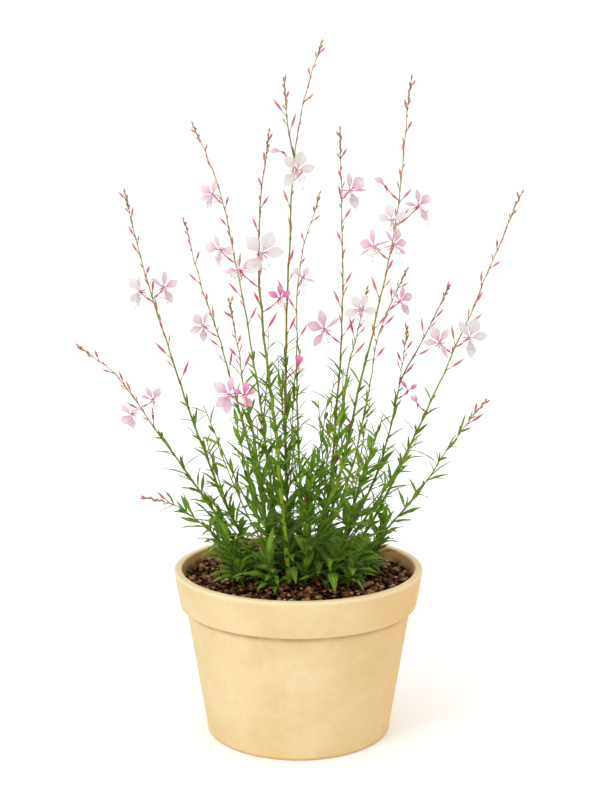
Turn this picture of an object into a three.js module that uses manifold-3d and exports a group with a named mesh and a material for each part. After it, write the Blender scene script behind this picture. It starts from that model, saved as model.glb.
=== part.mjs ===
// A potted gaura: arching leafy stems with slim buds and four-petalled blooms, standing in a round pot.
// Millimetres, +Z up, origin at the centre of the pot's underside, the front towards -Y.
import * as THREE from "three";
import { mergeGeometries, mergeVertices } from "three/addons/utils/BufferGeometryUtils.js";
import Module from "manifold-3d";

const wasm = await Module();
wasm.setup();

// Clearance between pieces that rest on each other
const gap = 0.3;

const pot = {
  height: 146.5,
  rimRadius: 110,
  mouthRadius: 102.5,
  lipRound: 2,
  collarBottom: 114.2,
  collarBottomRadius: 105,
  bodyTopRadius: 100,
  baseRadius: 81.8,
  baseRound: 1.6,
  floorThickness: 9,
  innerBaseRadius: 75,
  innerShoulder: 100,
  innerShoulderRadius: 93,
  facets: 36,
  drainCount: 5,
  drainRadius: 5,
  drainCircle: 45,
};

const soil = { level: 136.5, crown: 2.5, granule: 3.2, rings: 7, holeDepth: 16 };

const stemSides = 3;
const longestRun = 64;
const stemTipRadius = 0.55;
const branchRadius = 0.9;

// Vertices nearer to a flat face than this are merged away
const tidiness = 0.08;

// Leaves shrink from the longest and widest to the shortest and narrowest while their roots climb by span.
// Rise is their angle over the ground where they leave the stem, bend how far they curve back down.
const leaf = {
  thickness: 0.8,
  longest: 38,
  shortest: 13,
  widest: 3.9,
  narrowest: 1.1,
  firstHeight: 145,
  span: 230,
  lowRise: 48,
  highRise: 66,
  riseSpread: 14,
  lowBend: 62,
  highBend: 26,
  fold: 0.32,
  wave: 0.16,
  teeth: 0.12,
  turnAside: 29,
  attempts: 12,
};
const lowestLeaf = { overSoil: 143.5, overRim: 150, soilReach: 92 };

// A stem that leans out past this reach by mid height has slimmer, shorter leaves, but for its lowest
const outer = { reach: 88, aboveStature: 0.1, leafLength: 0.88, leafWidth: 0.5 };

// Between these heights, no leaf of another stem grows just before the bright one
const inView = { stem: "stem_front_bright", from: 146, to: 480, aside: 5.5 };

const bud = {
  longest: 15,
  shortest: 7,
  radius: 1.25,
  tipRadius: 0.9,
  lean: 27,
  leanSpread: 14,
  turnAside: 45,
  attempts: 8,
  fullestAt: 0.55,
};
const tip = { length: 11, radius: 1.2, swellsAt: 4 };

// A closed bloom's petals are narrower, by closedShare. They leave the hub in two layers.
const petal = {
  thickness: 0.7,
  slenderness: 0.34,
  closedShare: 0.55,
  rise: 16,
  bend: 30,
  fold: 0.14,
  rows: 3,
  rootReach: 0.3,
  layer: 0.4,
};
const tube = { pedicelRadius: 0.6, ovaryLength: 8, hubRadius: 1.9, sides: 4 };

// Each stem has its foot radius, its count of leaves and the height of the last one, the height of the
// first bud and the count of buds, and its route up from the soil. A branch leaves it at a height.
const stems = {
  stem_centre_tall: {
    radius: 1.9, leaves: 12, leafTop: 350, buds: 11, firstBud: 330,
    route: [[-7, 4, 138], [-11, 8, 267], [-8, 18, 424], [0, 26, 527], [20, 34, 602]],
    branch: { from: 500, buds: 4, route: [[-9, 22, 531], [-13, 12, 568]] },
  },
  stem_centre_right: {
    radius: 1.9, leaves: 12, leafTop: 340, buds: 10, firstBud: 335,
    route: [[21, 8, 138], [29, 2, 229], [37, -8, 347], [37, -16, 427], [34, -30, 524]],
  },
  stem_front_bright: {
    radius: 2.3, leaves: 12, leafTop: 335, buds: 9, firstBud: 340,
    route: [[-8, -26, 138], [-17, -38, 253], [-28, -52, 350], [-32, -62, 434], [-23, -76, 520]],
  },
  stem_back_left: {
    radius: 1.8, leaves: 12, leafTop: 330, buds: 10, firstBud: 340,
    route: [[-16, 16, 138], [-29, 36, 244], [-46, 62, 351], [-69, 86, 463], [-97, 100, 537]],
  },
  stem_left: {
    radius: 1.8, leaves: 12, leafTop: 300, buds: 10, firstBud: 300,
    route: [[-32, -8, 138], [-73, -20, 232], [-106, -38, 337], [-126, -48, 407], [-140, -56, 473]],
  },
  stem_rear_left: {
    radius: 1.7, leaves: 11, leafTop: 290, buds: 8, firstBud: 290,
    route: [[-20, 30, 138], [-45, 64, 238], [-73, 104, 330], [-95, 126, 393], [-110, 140, 450]],
  },
  stem_far_left: {
    radius: 1.7, leaves: 11, leafTop: 262, buds: 7, firstBud: 258,
    route: [[-36, 6, 138], [-80, 10, 201], [-126, 18, 264], [-159, 22, 311], [-196, 26, 340]],
  },
  stem_right_tall: {
    radius: 2, leaves: 12, leafTop: 340, buds: 11, firstBud: 345,
    route: [[17, -12, 138], [44, -26, 273], [63, -42, 364], [79, -52, 448], [89, -66, 562]],
  },
  stem_far_right: {
    radius: 2, leaves: 12, leafTop: 300, buds: 10, firstBud: 305,
    route: [[34, -4, 138], [77, 2, 208], [118, 12, 296], [156, 22, 379], [195, 30, 475]],
  },
  stem_right_forked: {
    radius: 1.7, leaves: 12, leafTop: 300, buds: 5, firstBud: 296,
    route: [[30, 18, 138], [74, 44, 227], [92, 62, 297], [100, 70, 352]],
    branch: { from: 300, buds: 5, route: [[126, 84, 360], [141, 92, 389]] },
  },
  stem_right_low: {
    radius: 1.6, leaves: 11, leafTop: 285, buds: 3, firstBud: 278,
    route: [[44, -14, 138], [70, -30, 180], [102, -48, 225], [125, -60, 265], [153, -70, 305]],
  },
  stem_back_right: {
    radius: 1.8, leaves: 12, leafTop: 300, buds: 7, firstBud: 305,
    route: [[12, 30, 138], [43, 62, 201], [62, 90, 266], [78, 116, 345], [105, 134, 402]],
  },
  stem_back_centre: {
    radius: 1.8, leaves: 12, leafTop: 310, buds: 7, firstBud: 320,
    route: [[2, 22, 138], [1, 52, 222], [-2, 88, 308], [1, 120, 401], [21, 146, 475]],
  },
  stem_left_low: {
    radius: 1.5, leaves: 11, leafTop: 216, buds: 2, firstBud: 210,
    route: [[-37, -22, 138], [-63, -32, 171], [-81, -40, 193], [-102, -48, 211], [-130, -54, 222]],
  },
  stem_front_left: {
    radius: 1.7, leaves: 12, leafTop: 330, buds: 6, firstBud: 315,
    route: [[-24, -14, 138], [-33, -34, 240], [-43, -50, 298], [-49, -62, 345], [-56, -72, 387]],
  },
  stem_front_right: {
    radius: 1.7, leaves: 12, leafTop: 330, buds: 5, firstBud: 325,
    route: [[10, -4, 138], [28, -36, 231], [40, -70, 330], [48, -82, 364], [55, -94, 398]],
  },
  shoot_front_left: {
    radius: 1.6, leaves: 11, leafTop: 290, buds: 0, firstBud: 0,
    route: [[-22, -40, 138], [-36, -56, 215], [-52, -70, 292]],
  },
  shoot_front_right: {
    radius: 1.6, leaves: 11, leafTop: 280, buds: 0, firstBud: 0,
    route: [[24, -36, 138], [46, -52, 212], [66, -66, 284]],
  },
  shoot_front_middle: {
    radius: 1.5, leaves: 11, leafTop: 265, buds: 0, firstBud: 0,
    route: [[6, -34, 138], [8, -56, 205], [12, -72, 270]],
  },
  shoot_rear: {
    radius: 1.6, leaves: 12, leafTop: 300, buds: 0, firstBud: 0,
    route: [[20, 44, 138], [26, 72, 220], [34, 98, 304]],
  },
  tuft_left: {
    radius: 1.5, leaves: 8, leafTop: 182, buds: 0, firstBud: 0,
    route: [[-47, -38, 138], [-53, -45, 160], [-58, -52, 184]],
  },
  tuft_front: {
    radius: 1.5, leaves: 8, leafTop: 180, buds: 0, firstBud: 0,
    route: [[-20, -53, 138], [-24, -61, 160], [-26, -68, 182]],
  },
  tuft_right: {
    radius: 1.5, leaves: 8, leafTop: 182, buds: 0, firstBud: 0,
    route: [[42, -40, 138], [47, -49, 160], [53, -56, 184]],
  },
  tuft_far_right: {
    radius: 1.5, leaves: 8, leafTop: 184, buds: 0, firstBud: 0,
    route: [[60, 4, 138], [68, 6, 161], [76, 8, 186]],
  },
  tuft_far_left: {
    radius: 1.5, leaves: 8, leafTop: 184, buds: 0, firstBud: 0,
    route: [[-58, 14, 138], [-66, 16, 161], [-74, 17, 186]],
  },
  tuft_rear: {
    radius: 1.5, leaves: 8, leafTop: 184, buds: 0, firstBud: 0,
    route: [[-8, 56, 138], [-10, 66, 161], [-12, 75, 186]],
  },
};

// Each bloom sits on a stem at a height. Its stalk leaves at a bearing (0 right, 90 back, 270 front) and
// rises for a reach, then its face looks along a bearing and a tilt. The petals are angles in that face,
// anticlockwise from the right, and size is a petal's length.
const blooms = [
  { stem: "stem_back_left", height: 464, bearing: 207, rise: 40, reach: 12, face: [262, 8], size: 13.5,
    petals: [78, 144, 200, 249], tone: "blush" },
  { stem: "stem_centre_tall", height: 484, bearing: 289, rise: 39, reach: 12, face: [276, 4], size: 17,
    petals: [11, 73, 130, 230], tone: "white" },
  { stem: "stem_centre_right", height: 467, bearing: 317, rise: 40, reach: 11, face: [285, 10], size: 16,
    petals: [2, 40, 91, 287], tone: "blush" },
  { stem: "stem_right_tall", height: 446, bearing: 347, rise: 40, reach: 24, face: [290, 4], size: 14,
    petals: [44, 100, 170, 299], tone: "rose" },
  { stem: "stem_front_bright", height: 416, bearing: 284, rise: 41, reach: 12, face: [268, 6], size: 19.5,
    petals: [4, 63, 133, 238], tone: "white" },
  { stem: "stem_back_left", height: 410, bearing: 204, rise: 40, reach: 19, face: [255, 6], size: 15,
    petals: [112, 166, 261, 355], tone: "blush" },
  { stem: "stem_front_bright", height: 396, bearing: 159, rise: 39, reach: 21, face: [240, 30], size: 14.5,
    petals: [28, 52, 118, 188], tone: "rose" },
  { stem: "stem_left", height: 386, bearing: 331, rise: 41, reach: 14, face: [280, 6], size: 14,
    petals: [25, 84, 140, 299], tone: "rose" },
  { stem: "stem_left", height: 383, bearing: 212, rise: 40, reach: 15, face: [255, 4], size: 13,
    petals: [92, 126, 230, 266], tone: "white" },
  { stem: "stem_front_bright", height: 374, bearing: 16, rise: 41, reach: 19, face: [290, 20], size: 12,
    petals: [32, 88, 150], tone: "deep" },
  { stem: "stem_back_centre", height: 387, bearing: 293, rise: 42, reach: 11, face: [270, 14], size: 13,
    petals: [60, 128, 345], tone: "blush" },
  { stem: "stem_rear_left", height: 338, bearing: 202, rise: 40, reach: 18, face: [262, 10], size: 15,
    petals: [78, 131, 204, 274], tone: "blush" },
  { stem: "stem_centre_right", height: 345, bearing: 211, rise: 39, reach: 20, face: [262, 6], size: 17.5,
    petals: [40, 104, 163, 236], tone: "rose" },
  { stem: "stem_front_right", height: 374, bearing: 263, rise: 36, reach: 10, face: [275, 8], size: 14,
    petals: [0, 70, 117, 193], tone: "white" },
  { stem: "stem_back_right", height: 362, bearing: 330, rise: 40, reach: 16, face: [285, 8], size: 15,
    petals: [27, 76, 124, 302], tone: "rose" },
  { stem: "stem_right_tall", height: 442, bearing: 256, rise: 39, reach: 12, face: [265, 12], size: 14,
    petals: [31, 104, 160], tone: "white" },
  { stem: "stem_right_tall", height: 419, bearing: 160, rise: 41, reach: 15, face: [245, 12], size: 14.5,
    petals: [20, 102, 168, 215], tone: "rose" },
  { stem: "stem_right_tall", height: 423, bearing: 283, rise: 40, reach: 12, face: [300, 10], size: 14,
    petals: [7, 66, 120, 320], tone: "rose" },
  { stem: "stem_far_right", height: 333, bearing: 212, rise: 38, reach: 17, face: [262, 8], size: 16,
    petals: [60, 116, 177, 300], tone: "blush" },
  { stem: "stem_far_right", height: 338, bearing: 331, rise: 39, reach: 16, face: [278, 6], size: 18,
    petals: [6, 69, 124, 274], tone: "white" },
  { stem: "stem_front_left", height: 295, bearing: 211, rise: 40, reach: 20, face: [262, 10], size: 16.5,
    petals: [86, 145, 222, 262], tone: "rose" },
  { stem: "stem_front_left", height: 300, bearing: 263, rise: 41, reach: 12, face: [282, 12], size: 11.5,
    petals: [20, 77, 150, 300], tone: "deep" },
  { stem: "stem_far_left", height: 283, bearing: 335, rise: 39, reach: 15, face: [275, 20], size: 13,
    petals: [62, 118, 160], tone: "rose" },
  { stem: "stem_far_left", height: 284, bearing: 232, rise: -20, reach: 11, face: [258, 0], size: 13,
    petals: [40, 137, 222, 276], tone: "blush" },
  { stem: "stem_centre_tall", height: 313, bearing: 327, rise: 41, reach: 15, face: [280, 30], size: 12.5,
    petals: [64, 80, 96], tone: "deep" },
  { stem: "stem_right_forked", height: 286, bearing: 324, rise: 39, reach: 15, face: [285, 20], size: 11.5,
    petals: [30, 122], tone: "deep" },
  { stem: "stem_far_right", height: 283, bearing: 219, rise: 38, reach: 12, face: [265, 25], size: 10,
    petals: [105, 130], tone: "rose" },
  { stem: "stem_right_tall", height: 467, bearing: 209, rise: 40, reach: 16, face: [262, 25], size: 11,
    petals: [128, 142], tone: "rose" },
  { stem: "stem_centre_tall", height: 499, bearing: 202, rise: 39, reach: 14, face: [260, 30], size: 11,
    petals: [166, 182], tone: "rose" },
];

const finishes = {
  pot: new THREE.MeshStandardMaterial({ color: 0xf2dcae, roughness: 0.62, metalness: 0 }),
  soil: new THREE.MeshStandardMaterial({ color: 0x3d2a1c, roughness: 0.95, metalness: 0 }),
  stem: new THREE.MeshStandardMaterial({ color: 0x5d8a2e, roughness: 0.6, metalness: 0 }),
  tuft: new THREE.MeshStandardMaterial({ color: 0x4f8544, roughness: 0.6, metalness: 0 }),
  white: new THREE.MeshStandardMaterial({ color: 0xf6eeee, roughness: 0.55, metalness: 0 }),
  blush: new THREE.MeshStandardMaterial({ color: 0xf3d3db, roughness: 0.55, metalness: 0 }),
  rose: new THREE.MeshStandardMaterial({ color: 0xe9a3bd, roughness: 0.55, metalness: 0 }),
  deep: new THREE.MeshStandardMaterial({ color: 0xd9628f, roughness: 0.55, metalness: 0 }),
};

const radians = THREE.MathUtils.degToRad;
const mix = THREE.MathUtils.lerp;
const up = new THREE.Vector3(0, 0, 1);
const away = new THREE.Vector3(0, 1, 0);
const goldenAngle = 137.5;

// Room kept free round stems, leaves and blooms
const sphereStep = 4;
const clearance = 0.9;

// A seeded source of numbers from 0 to 1
function drawsFrom(seed) {
  let state = seed * 7919;
  return () => {
    state = (Math.imul(state, 1664525) + 1013904223) >>> 0;
    return state / 4294967296;
  };
}

function reshape(geometry, place) {
  const position = geometry.getAttribute("position");
  const point = new THREE.Vector3();
  for (let i = 0; i < position.count; i++) {
    point.copy(place(point.fromBufferAttribute(position, i)));
    position.setXYZ(i, point.x, point.y, point.z);
  }
  return geometry;
}

// The closed surface as a solid, its shared vertices merged and its collapsed triangles dropped
function solidFrom(geometry) {
  geometry.deleteAttribute("normal");
  geometry.deleteAttribute("uv");
  const merged = mergeVertices(geometry, 1e-4);
  const corners = merged.index.array;
  const kept = [];
  for (let i = 0; i < corners.length; i += 3) {
    const [a, b, c] = corners.subarray(i, i + 3);
    if (a !== b && b !== c && c !== a) kept.push(a, b, c);
  }
  return new wasm.Manifold(
    new wasm.Mesh({
      numProp: 3,
      vertProperties: merged.getAttribute("position").array,
      triVerts: new Uint32Array(kept),
    }),
  );
}

function meshFrom(name, solid, finish) {
  const made = solid.getMesh();
  const geometry = new THREE.BufferGeometry();
  geometry.setAttribute("position", new THREE.BufferAttribute(made.vertProperties, 3));
  geometry.setIndex(new THREE.BufferAttribute(made.triVerts, 1));
  geometry.computeVertexNormals();
  const mesh = new THREE.Mesh(geometry, finish);
  mesh.name = name;
  return mesh;
}

const fused = (solids) => solids.reduce((whole, piece) => whole.add(piece)).simplify(tidiness);

const bearingVector = (bearing) =>
  new THREE.Vector3(Math.cos(radians(bearing)), Math.sin(radians(bearing)), 0);

// A point at a distance from start, along direction
const offset = (start, direction, distance) => start.clone().addScaledVector(direction, distance);

// A body turned on a straight axis from rings of [distance along the axis, radius]
function spindle(start, direction, rings, sides) {
  const across = new THREE.Vector3().crossVectors(away, direction).normalize();
  const third = new THREE.Vector3().crossVectors(across, direction);
  const last = rings.length - 1;
  const ball = new THREE.SphereGeometry(1, sides, last);
  return solidFrom(
    reshape(ball, (p) => {
      const row = last - Math.round((Math.acos(THREE.MathUtils.clamp(p.y, -1, 1)) / Math.PI) * last);
      const [distance, radius] = rings[row];
      const round = Math.hypot(p.x, p.z) || 1;
      const sideways = across.clone().multiplyScalar(p.x / round).addScaledVector(third, p.z / round);
      return offset(start, direction, distance).addScaledVector(sideways, radius);
    }),
  );
}

// The line of an arched blade: it leaves along heading, raised by rise towards face, and bends back by bend
function arch(root, heading, face, length, rise, bend) {
  const start = radians(rise);
  const turn = radians(bend);
  return (along) => {
    const angle = start - turn * along;
    const forward = (length * (Math.sin(start) - Math.sin(angle))) / turn;
    const raised = (length * (Math.cos(angle) - Math.cos(start))) / turn;
    const point = offset(root, heading, forward).addScaledVector(face, raised);
    const normal = heading
      .clone()
      .multiplyScalar(-Math.sin(angle))
      .addScaledVector(face, Math.cos(angle));
    return { point, normal };
  };
}

// A blade two columns wide on an arched line: thick along its midrib and sharp at its margins, which rise
// by fold and wave. Both faces are split into triangles alike.
function blade(shape) {
  const { root, heading, face, length, rise, bend, rows, width, thickness, fold, wave } = shape;
  const line = arch(root, heading, face, length, rise, bend);
  const across = new THREE.Vector3().crossVectors(face, heading);
  const side = (outward) => {
    const sheet = new THREE.PlaneGeometry(2, 1, 2, rows);
    return reshape(sheet, (p) => {
      const along = 0.5 - p.y;
      const edge = Math.round(p.x);
      const isPoint = along < 1e-6 || along > 1 - 1e-6;
      const { point, normal } = line(along);
      const half = isPoint ? 0 : width(along);
      const ripple = wave * half * Math.sin(along * Math.PI * 3) * edge;
      const lift = edge ? fold * half + ripple : (isPoint ? 0 : outward * thickness) / 2;
      return point.addScaledVector(across, edge * half).addScaledVector(normal, lift);
    });
  };
  const upper = side(1);
  const lower = side(-1);
  const turned = lower.index.array;
  for (let i = 0; i < turned.length; i += 3) [turned[i + 1], turned[i + 2]] = [turned[i + 2], turned[i + 1]];
  return solidFrom(mergeGeometries([upper, lower]));
}

// A stem's line: straight runs between knots on a smooth curve through its route
function lineThrough(route) {
  const points = route.map((p) => new THREE.Vector3(...p));
  const curve = new THREE.CatmullRomCurve3(points, false, "catmullrom", 0.5);
  const sections = points.length - 1;
  const shares = [0];
  for (let i = 0; i < sections; i++) {
    const steps = points[i].distanceTo(points[i + 1]) > longestRun ? 2 : 1;
    for (let step = 1; step <= steps; step++) shares.push((i + step / steps) / sections);
  }
  const knots = shares.map((share) => curve.getPoint(share));
  const runAt = (share) => {
    const next = shares.findIndex((s) => s >= share);
    return Math.max(0, next - 1);
  };
  const pointAt = (share) => {
    const run = runAt(share);
    return knots[run].clone().lerp(knots[run + 1], (share - shares[run]) / (shares[run + 1] - shares[run]));
  };
  const tangentAt = (share) => {
    const run = runAt(share);
    return knots[run + 1].clone().sub(knots[run]).normalize();
  };
  const shareAtHeight = (height) => {
    const run = Math.max(0, knots.findIndex((knot) => knot.z >= height) - 1);
    const rise = (height - knots[run].z) / (knots[run + 1].z - knots[run].z);
    return mix(shares[run], shares[run + 1], rise);
  };
  return { knots, shares, pointAt, tangentAt, shareAtHeight, top: knots.at(-1).z };
}

// A tapered rod along a line, with its foot carried straight on by a buried length
function rod(line, footRadius, tipRadius, buried, sides) {
  const last = line.knots.length;
  const cylinder = new THREE.CylinderGeometry(1, 1, 1, sides, last);
  return solidFrom(
    reshape(cylinder, (p) => {
      const ring = Math.round((p.y + 0.5) * last);
      const knot = Math.max(0, ring - 1);
      const share = line.shares[knot];
      const tangent = line.tangentAt(share).add(line.tangentAt(Math.min(1, share + 0.01))).normalize();
      const centre = offset(line.knots[knot], tangent, ring === 0 ? -buried : 0);
      const across = new THREE.Vector3().crossVectors(away, tangent).normalize();
      const third = new THREE.Vector3().crossVectors(across, tangent);
      const radius = mix(footRadius, tipRadius, share);
      return centre.addScaledVector(across, p.x * radius).addScaledVector(third, p.z * radius);
    }),
  );
}

// Room already taken, as small spheres, so that nothing later grows through it
const taken = [];

function take(owner, spheres) {
  for (const [point, radius] of spheres) taken.push({ owner, point, radius });
}

function isClear(spheres, ownStem) {
  return spheres.every(([point, radius]) =>
    taken.every((other) => {
      if (other.owner === ownStem) return true;
      return point.distanceToSquared(other.point) > (radius + other.radius) ** 2;
    }),
  );
}

function spheresOnLine(line, footRadius, tipRadius) {
  const spheres = [];
  for (let run = 0; run < line.knots.length - 1; run++) {
    const count = Math.ceil(line.knots[run].distanceTo(line.knots[run + 1]) / sphereStep);
    for (let i = 0; i <= count; i++) {
      const share = mix(line.shares[run], line.shares[run + 1], i / count);
      spheres.push([line.pointAt(share), mix(footRadius, tipRadius, share) + clearance]);
    }
  }
  return spheres;
}

// Lanceolate leaf outline, with shallow teeth on the larger leaves
const leafWidth = (half, teeth) => (along) =>
  half * Math.sin(Math.PI * along ** 0.85) * (1 + teeth * Math.sin(along * Math.PI * 9));

// Clawed petal outline, widest two thirds of the way out
const petalWidth = (half) => (along) => half * Math.sin(Math.PI * along ** 1.75);

function spheresOnBlade(shape, half) {
  const line = arch(shape.root, shape.heading, shape.face, shape.length, shape.rise, shape.bend);
  const count = Math.ceil(shape.length / sphereStep) + 1;
  return Array.from({ length: count }, (_, i) => {
    const along = (i + 1) / count;
    return [line(along).point, Math.max(half * Math.sin(Math.PI * along ** 0.85) + 0.35, 1.9)];
  });
}

const isAboveGround = (spheres) =>
  spheres.every(([point]) => {
    const isOverSoil = Math.hypot(point.x, point.y) < lowestLeaf.soilReach;
    return point.z > (isOverSoil ? lowestLeaf.overSoil : lowestLeaf.overRim);
  });

const hidesBrightStem = (spheres) =>
  spheres.some(([point]) => {
    if (point.z < inView.from || point.z > inView.to) return false;
    const { line } = stems[inView.stem];
    const behind = line.pointAt(line.shareAtHeight(point.z));
    return Math.abs(point.x - behind.x) < inView.aside && point.y < behind.y;
  });

// Leaves wind up the stem, broad and drooping below, narrow and upright above. Each turns aside until it
// grows clear, and is left out where nothing is.
function leavesOf(name, stem, draw) {
  const grown = [];
  const isTuft = name.startsWith("tuft");
  const middle = stem.line.pointAt(0.5);
  const isOuter = Math.hypot(middle.x, middle.y) > outer.reach;
  for (let i = 0; i < stem.leaves; i++) {
    const rank = (i + 0.5) / stem.leaves;
    const height = mix(leaf.firstHeight, stem.leafTop, rank ** (isTuft ? 0.8 : 1.15));
    const bearing = i * goldenAngle + stem.route[0][0] * 11 + 30 * draw();
    const stature = isTuft ? 0.12 + 0.2 * rank : Math.min(1, (height - leaf.firstHeight) / leaf.span);
    const vigour = 0.85 + 0.3 * draw();
    const droop = draw();
    const isSlim = isOuter && stature > outer.aboveStature;
    const fullLength = mix(leaf.longest, leaf.shortest, stature ** 0.9) * vigour;
    const fullHalf = mix(leaf.widest, leaf.narrowest, Math.min(1, stature * 1.15));
    const length = fullLength * (isSlim ? outer.leafLength : 1);
    const half = fullHalf * (isSlim ? outer.leafWidth : 1);
    const root = stem.line.pointAt(stem.line.shareAtHeight(height));
    const rows = stature < 0.12 ? 4 : stature < 0.42 ? 3 : 2;
    for (let attempt = 0; attempt < leaf.attempts; attempt++) {
      const swing = (attempt % 2 ? 1 : -1) * Math.ceil(attempt / 2) * leaf.turnAside;
      const shape = {
        root,
        heading: bearingVector(bearing + swing),
        face: up,
        length: attempt < leaf.attempts / 2 ? length : length * 0.8,
        rise: mix(leaf.lowRise, leaf.highRise, stature) - leaf.riseSpread * droop + 3 * attempt,
        bend: mix(leaf.lowBend, leaf.highBend, stature) * (0.6 + 0.8 * droop),
        rows,
        width: leafWidth(half, rows === 4 ? leaf.teeth : 0),
        thickness: leaf.thickness,
        fold: leaf.fold,
        wave: rows === 4 ? leaf.wave : 0,
      };
      const spheres = spheresOnBlade(shape, half);
      if (!isClear(spheres, name) || !isAboveGround(spheres)) continue;
      if (name !== inView.stem && hidesBrightStem(spheres)) continue;
      take(name + " leaves", spheres);
      grown.push(blade(shape));
      break;
    }
  }
  return grown;
}

// Slim buds stand out from the upper stem, closer and smaller towards its tip
function budsOf(name, line, count, firstHeight, draw) {
  const grown = [];
  for (let i = 0; i < count; i++) {
    const rank = (i + 0.5) / count;
    const share = line.shareAtHeight(mix(firstHeight, line.top, rank ** 0.85));
    const start = line.pointAt(share);
    const tangent = line.tangentAt(share);
    const bearing = i * goldenAngle + 40 * draw();
    const length = mix(bud.longest, bud.shortest, rank) * (0.85 + 0.3 * draw());
    const lean = radians(bud.lean + bud.leanSpread * (draw() - 0.5));
    const radius = mix(bud.radius, bud.tipRadius, rank);
    for (let attempt = 0; attempt < bud.attempts; attempt++) {
      const outward = bearingVector(bearing + attempt * bud.turnAside);
      outward.addScaledVector(tangent, -outward.dot(tangent)).normalize();
      const direction = tangent.clone().multiplyScalar(Math.cos(lean));
      direction.addScaledVector(outward, Math.sin(lean));
      const spheres = [0.4, 0.7, 1].map((along) => [offset(start, direction, length * along), radius + 0.8]);
      if (!isClear(spheres, name)) continue;
      take(name + " buds", spheres);
      const rings = [[0, 0], [length * bud.fullestAt, radius * 1.15], [length, 0]];
      grown.push(spindle(start, direction, rings, stemSides));
      break;
    }
  }
  return grown;
}

// The closed buds at the very tip, as one slim point
function tipOf(name, line) {
  const start = line.pointAt(0.985);
  const tangent = line.tangentAt(1);
  take(name, [[offset(start, tangent, tip.length / 2), 3]]);
  return spindle(start, tangent, [[0, 0], [tip.swellsAt, tip.radius], [tip.length, 0]], stemSides);
}

function faceOf(entry) {
  const [bearing, tilt] = entry.face;
  const level = bearingVector(bearing).multiplyScalar(Math.cos(radians(tilt)));
  return level.addScaledVector(up, Math.sin(radians(tilt)));
}

// How far the flat side of a stem lies from its axis towards a bearing
function sideDistance(radius, tangent, outward) {
  const across = new THREE.Vector3().crossVectors(away, tangent).normalize();
  const third = new THREE.Vector3().crossVectors(across, tangent);
  const sector = (2 * Math.PI) / stemSides;
  const turn = Math.atan2(outward.dot(across), outward.dot(third));
  const pastCorner = (turn + 2 * sector) % sector;
  return (radius * Math.cos(sector / 2)) / Math.cos(pastCorner - sector / 2);
}

// Where a bloom's stalk starts, clear of its stem, the way it runs, and the hub that its petals leave
function stalkOf(entry, stem) {
  const share = stem.line.shareAtHeight(entry.height);
  const outward = bearingVector(entry.bearing);
  const direction = outward
    .clone()
    .multiplyScalar(Math.cos(radians(entry.rise)))
    .addScaledVector(up, Math.sin(radians(entry.rise)));
  const stemRadius = mix(stem.radius, stemTipRadius, share);
  const side = sideDistance(stemRadius, stem.line.tangentAt(share), outward);
  const start = offset(stem.line.pointAt(share), outward, side + gap);
  return { start, direction, hub: offset(start, direction, entry.reach) };
}

function petalShapes(entry, hub) {
  const face = faceOf(entry);
  const right = new THREE.Vector3().crossVectors(up, face).normalize();
  const top = new THREE.Vector3().crossVectors(face, right);
  const isOpen = entry.petals.length > 2;
  return entry.petals.map((angle, i) => {
    const heading = right
      .clone()
      .multiplyScalar(Math.cos(radians(angle)))
      .addScaledVector(top, Math.sin(radians(angle)));
    return {
      root: offset(hub, heading, petal.rootReach).addScaledVector(face, i % 2 ? petal.layer : -petal.layer),
      heading,
      face,
      length: entry.size * (i % 2 ? 1 : 0.93),
      rise: petal.rise,
      bend: petal.bend,
      rows: petal.rows,
      width: petalWidth(entry.size * petal.slenderness * (isOpen ? 1 : petal.closedShare)),
      thickness: petal.thickness,
      fold: petal.fold,
      wave: 0,
    };
  });
}

// A thin stalk that swells into the ovary and hub, with the petals set round it in two layers
function bloomSolid(entry, stem) {
  const { start, direction, hub } = stalkOf(entry, stem);
  const ovary = Math.min(tube.ovaryLength, entry.reach - 2);
  const stalk = spindle(
    start,
    direction,
    [
      [0, 0],
      [0.9, tube.pedicelRadius],
      [entry.reach - ovary, tube.pedicelRadius + 0.2],
      [entry.reach, tube.hubRadius],
      [entry.reach + 1.5, 0],
    ],
    tube.sides,
  );
  return fused([stalk, ...petalShapes(entry, hub).map(blade)]);
}

function spheresOnBloom(entry, stem) {
  const { start, direction, hub } = stalkOf(entry, stem);
  const spheres = [[hub, 4], [offset(start, direction, entry.reach / 2), 2.2]];
  for (const shape of petalShapes(entry, hub)) {
    const line = arch(shape.root, shape.heading, shape.face, shape.length, shape.rise, shape.bend);
    for (const along of [0.35, 0.6, 0.85])
      spheres.push([line(along).point, Math.max(shape.width(along), 2) + 0.5]);
  }
  return spheres;
}

// The pot is turned from one closed outline
const arcPoints = (x, z, radius, from, to, steps) =>
  Array.from({ length: steps + 1 }, (_, i) => {
    const angle = radians(mix(from, to, i / steps));
    return new THREE.Vector2(x + radius * Math.cos(angle), z + radius * Math.sin(angle));
  });

const turned = (outline) => new THREE.LatheGeometry(outline, pot.facets).rotateX(Math.PI / 2);

function innerRadiusAt(height) {
  const share = (height - pot.innerShoulder) / (pot.height - pot.innerShoulder);
  return mix(pot.innerShoulderRadius, pot.mouthRadius, share);
}

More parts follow.
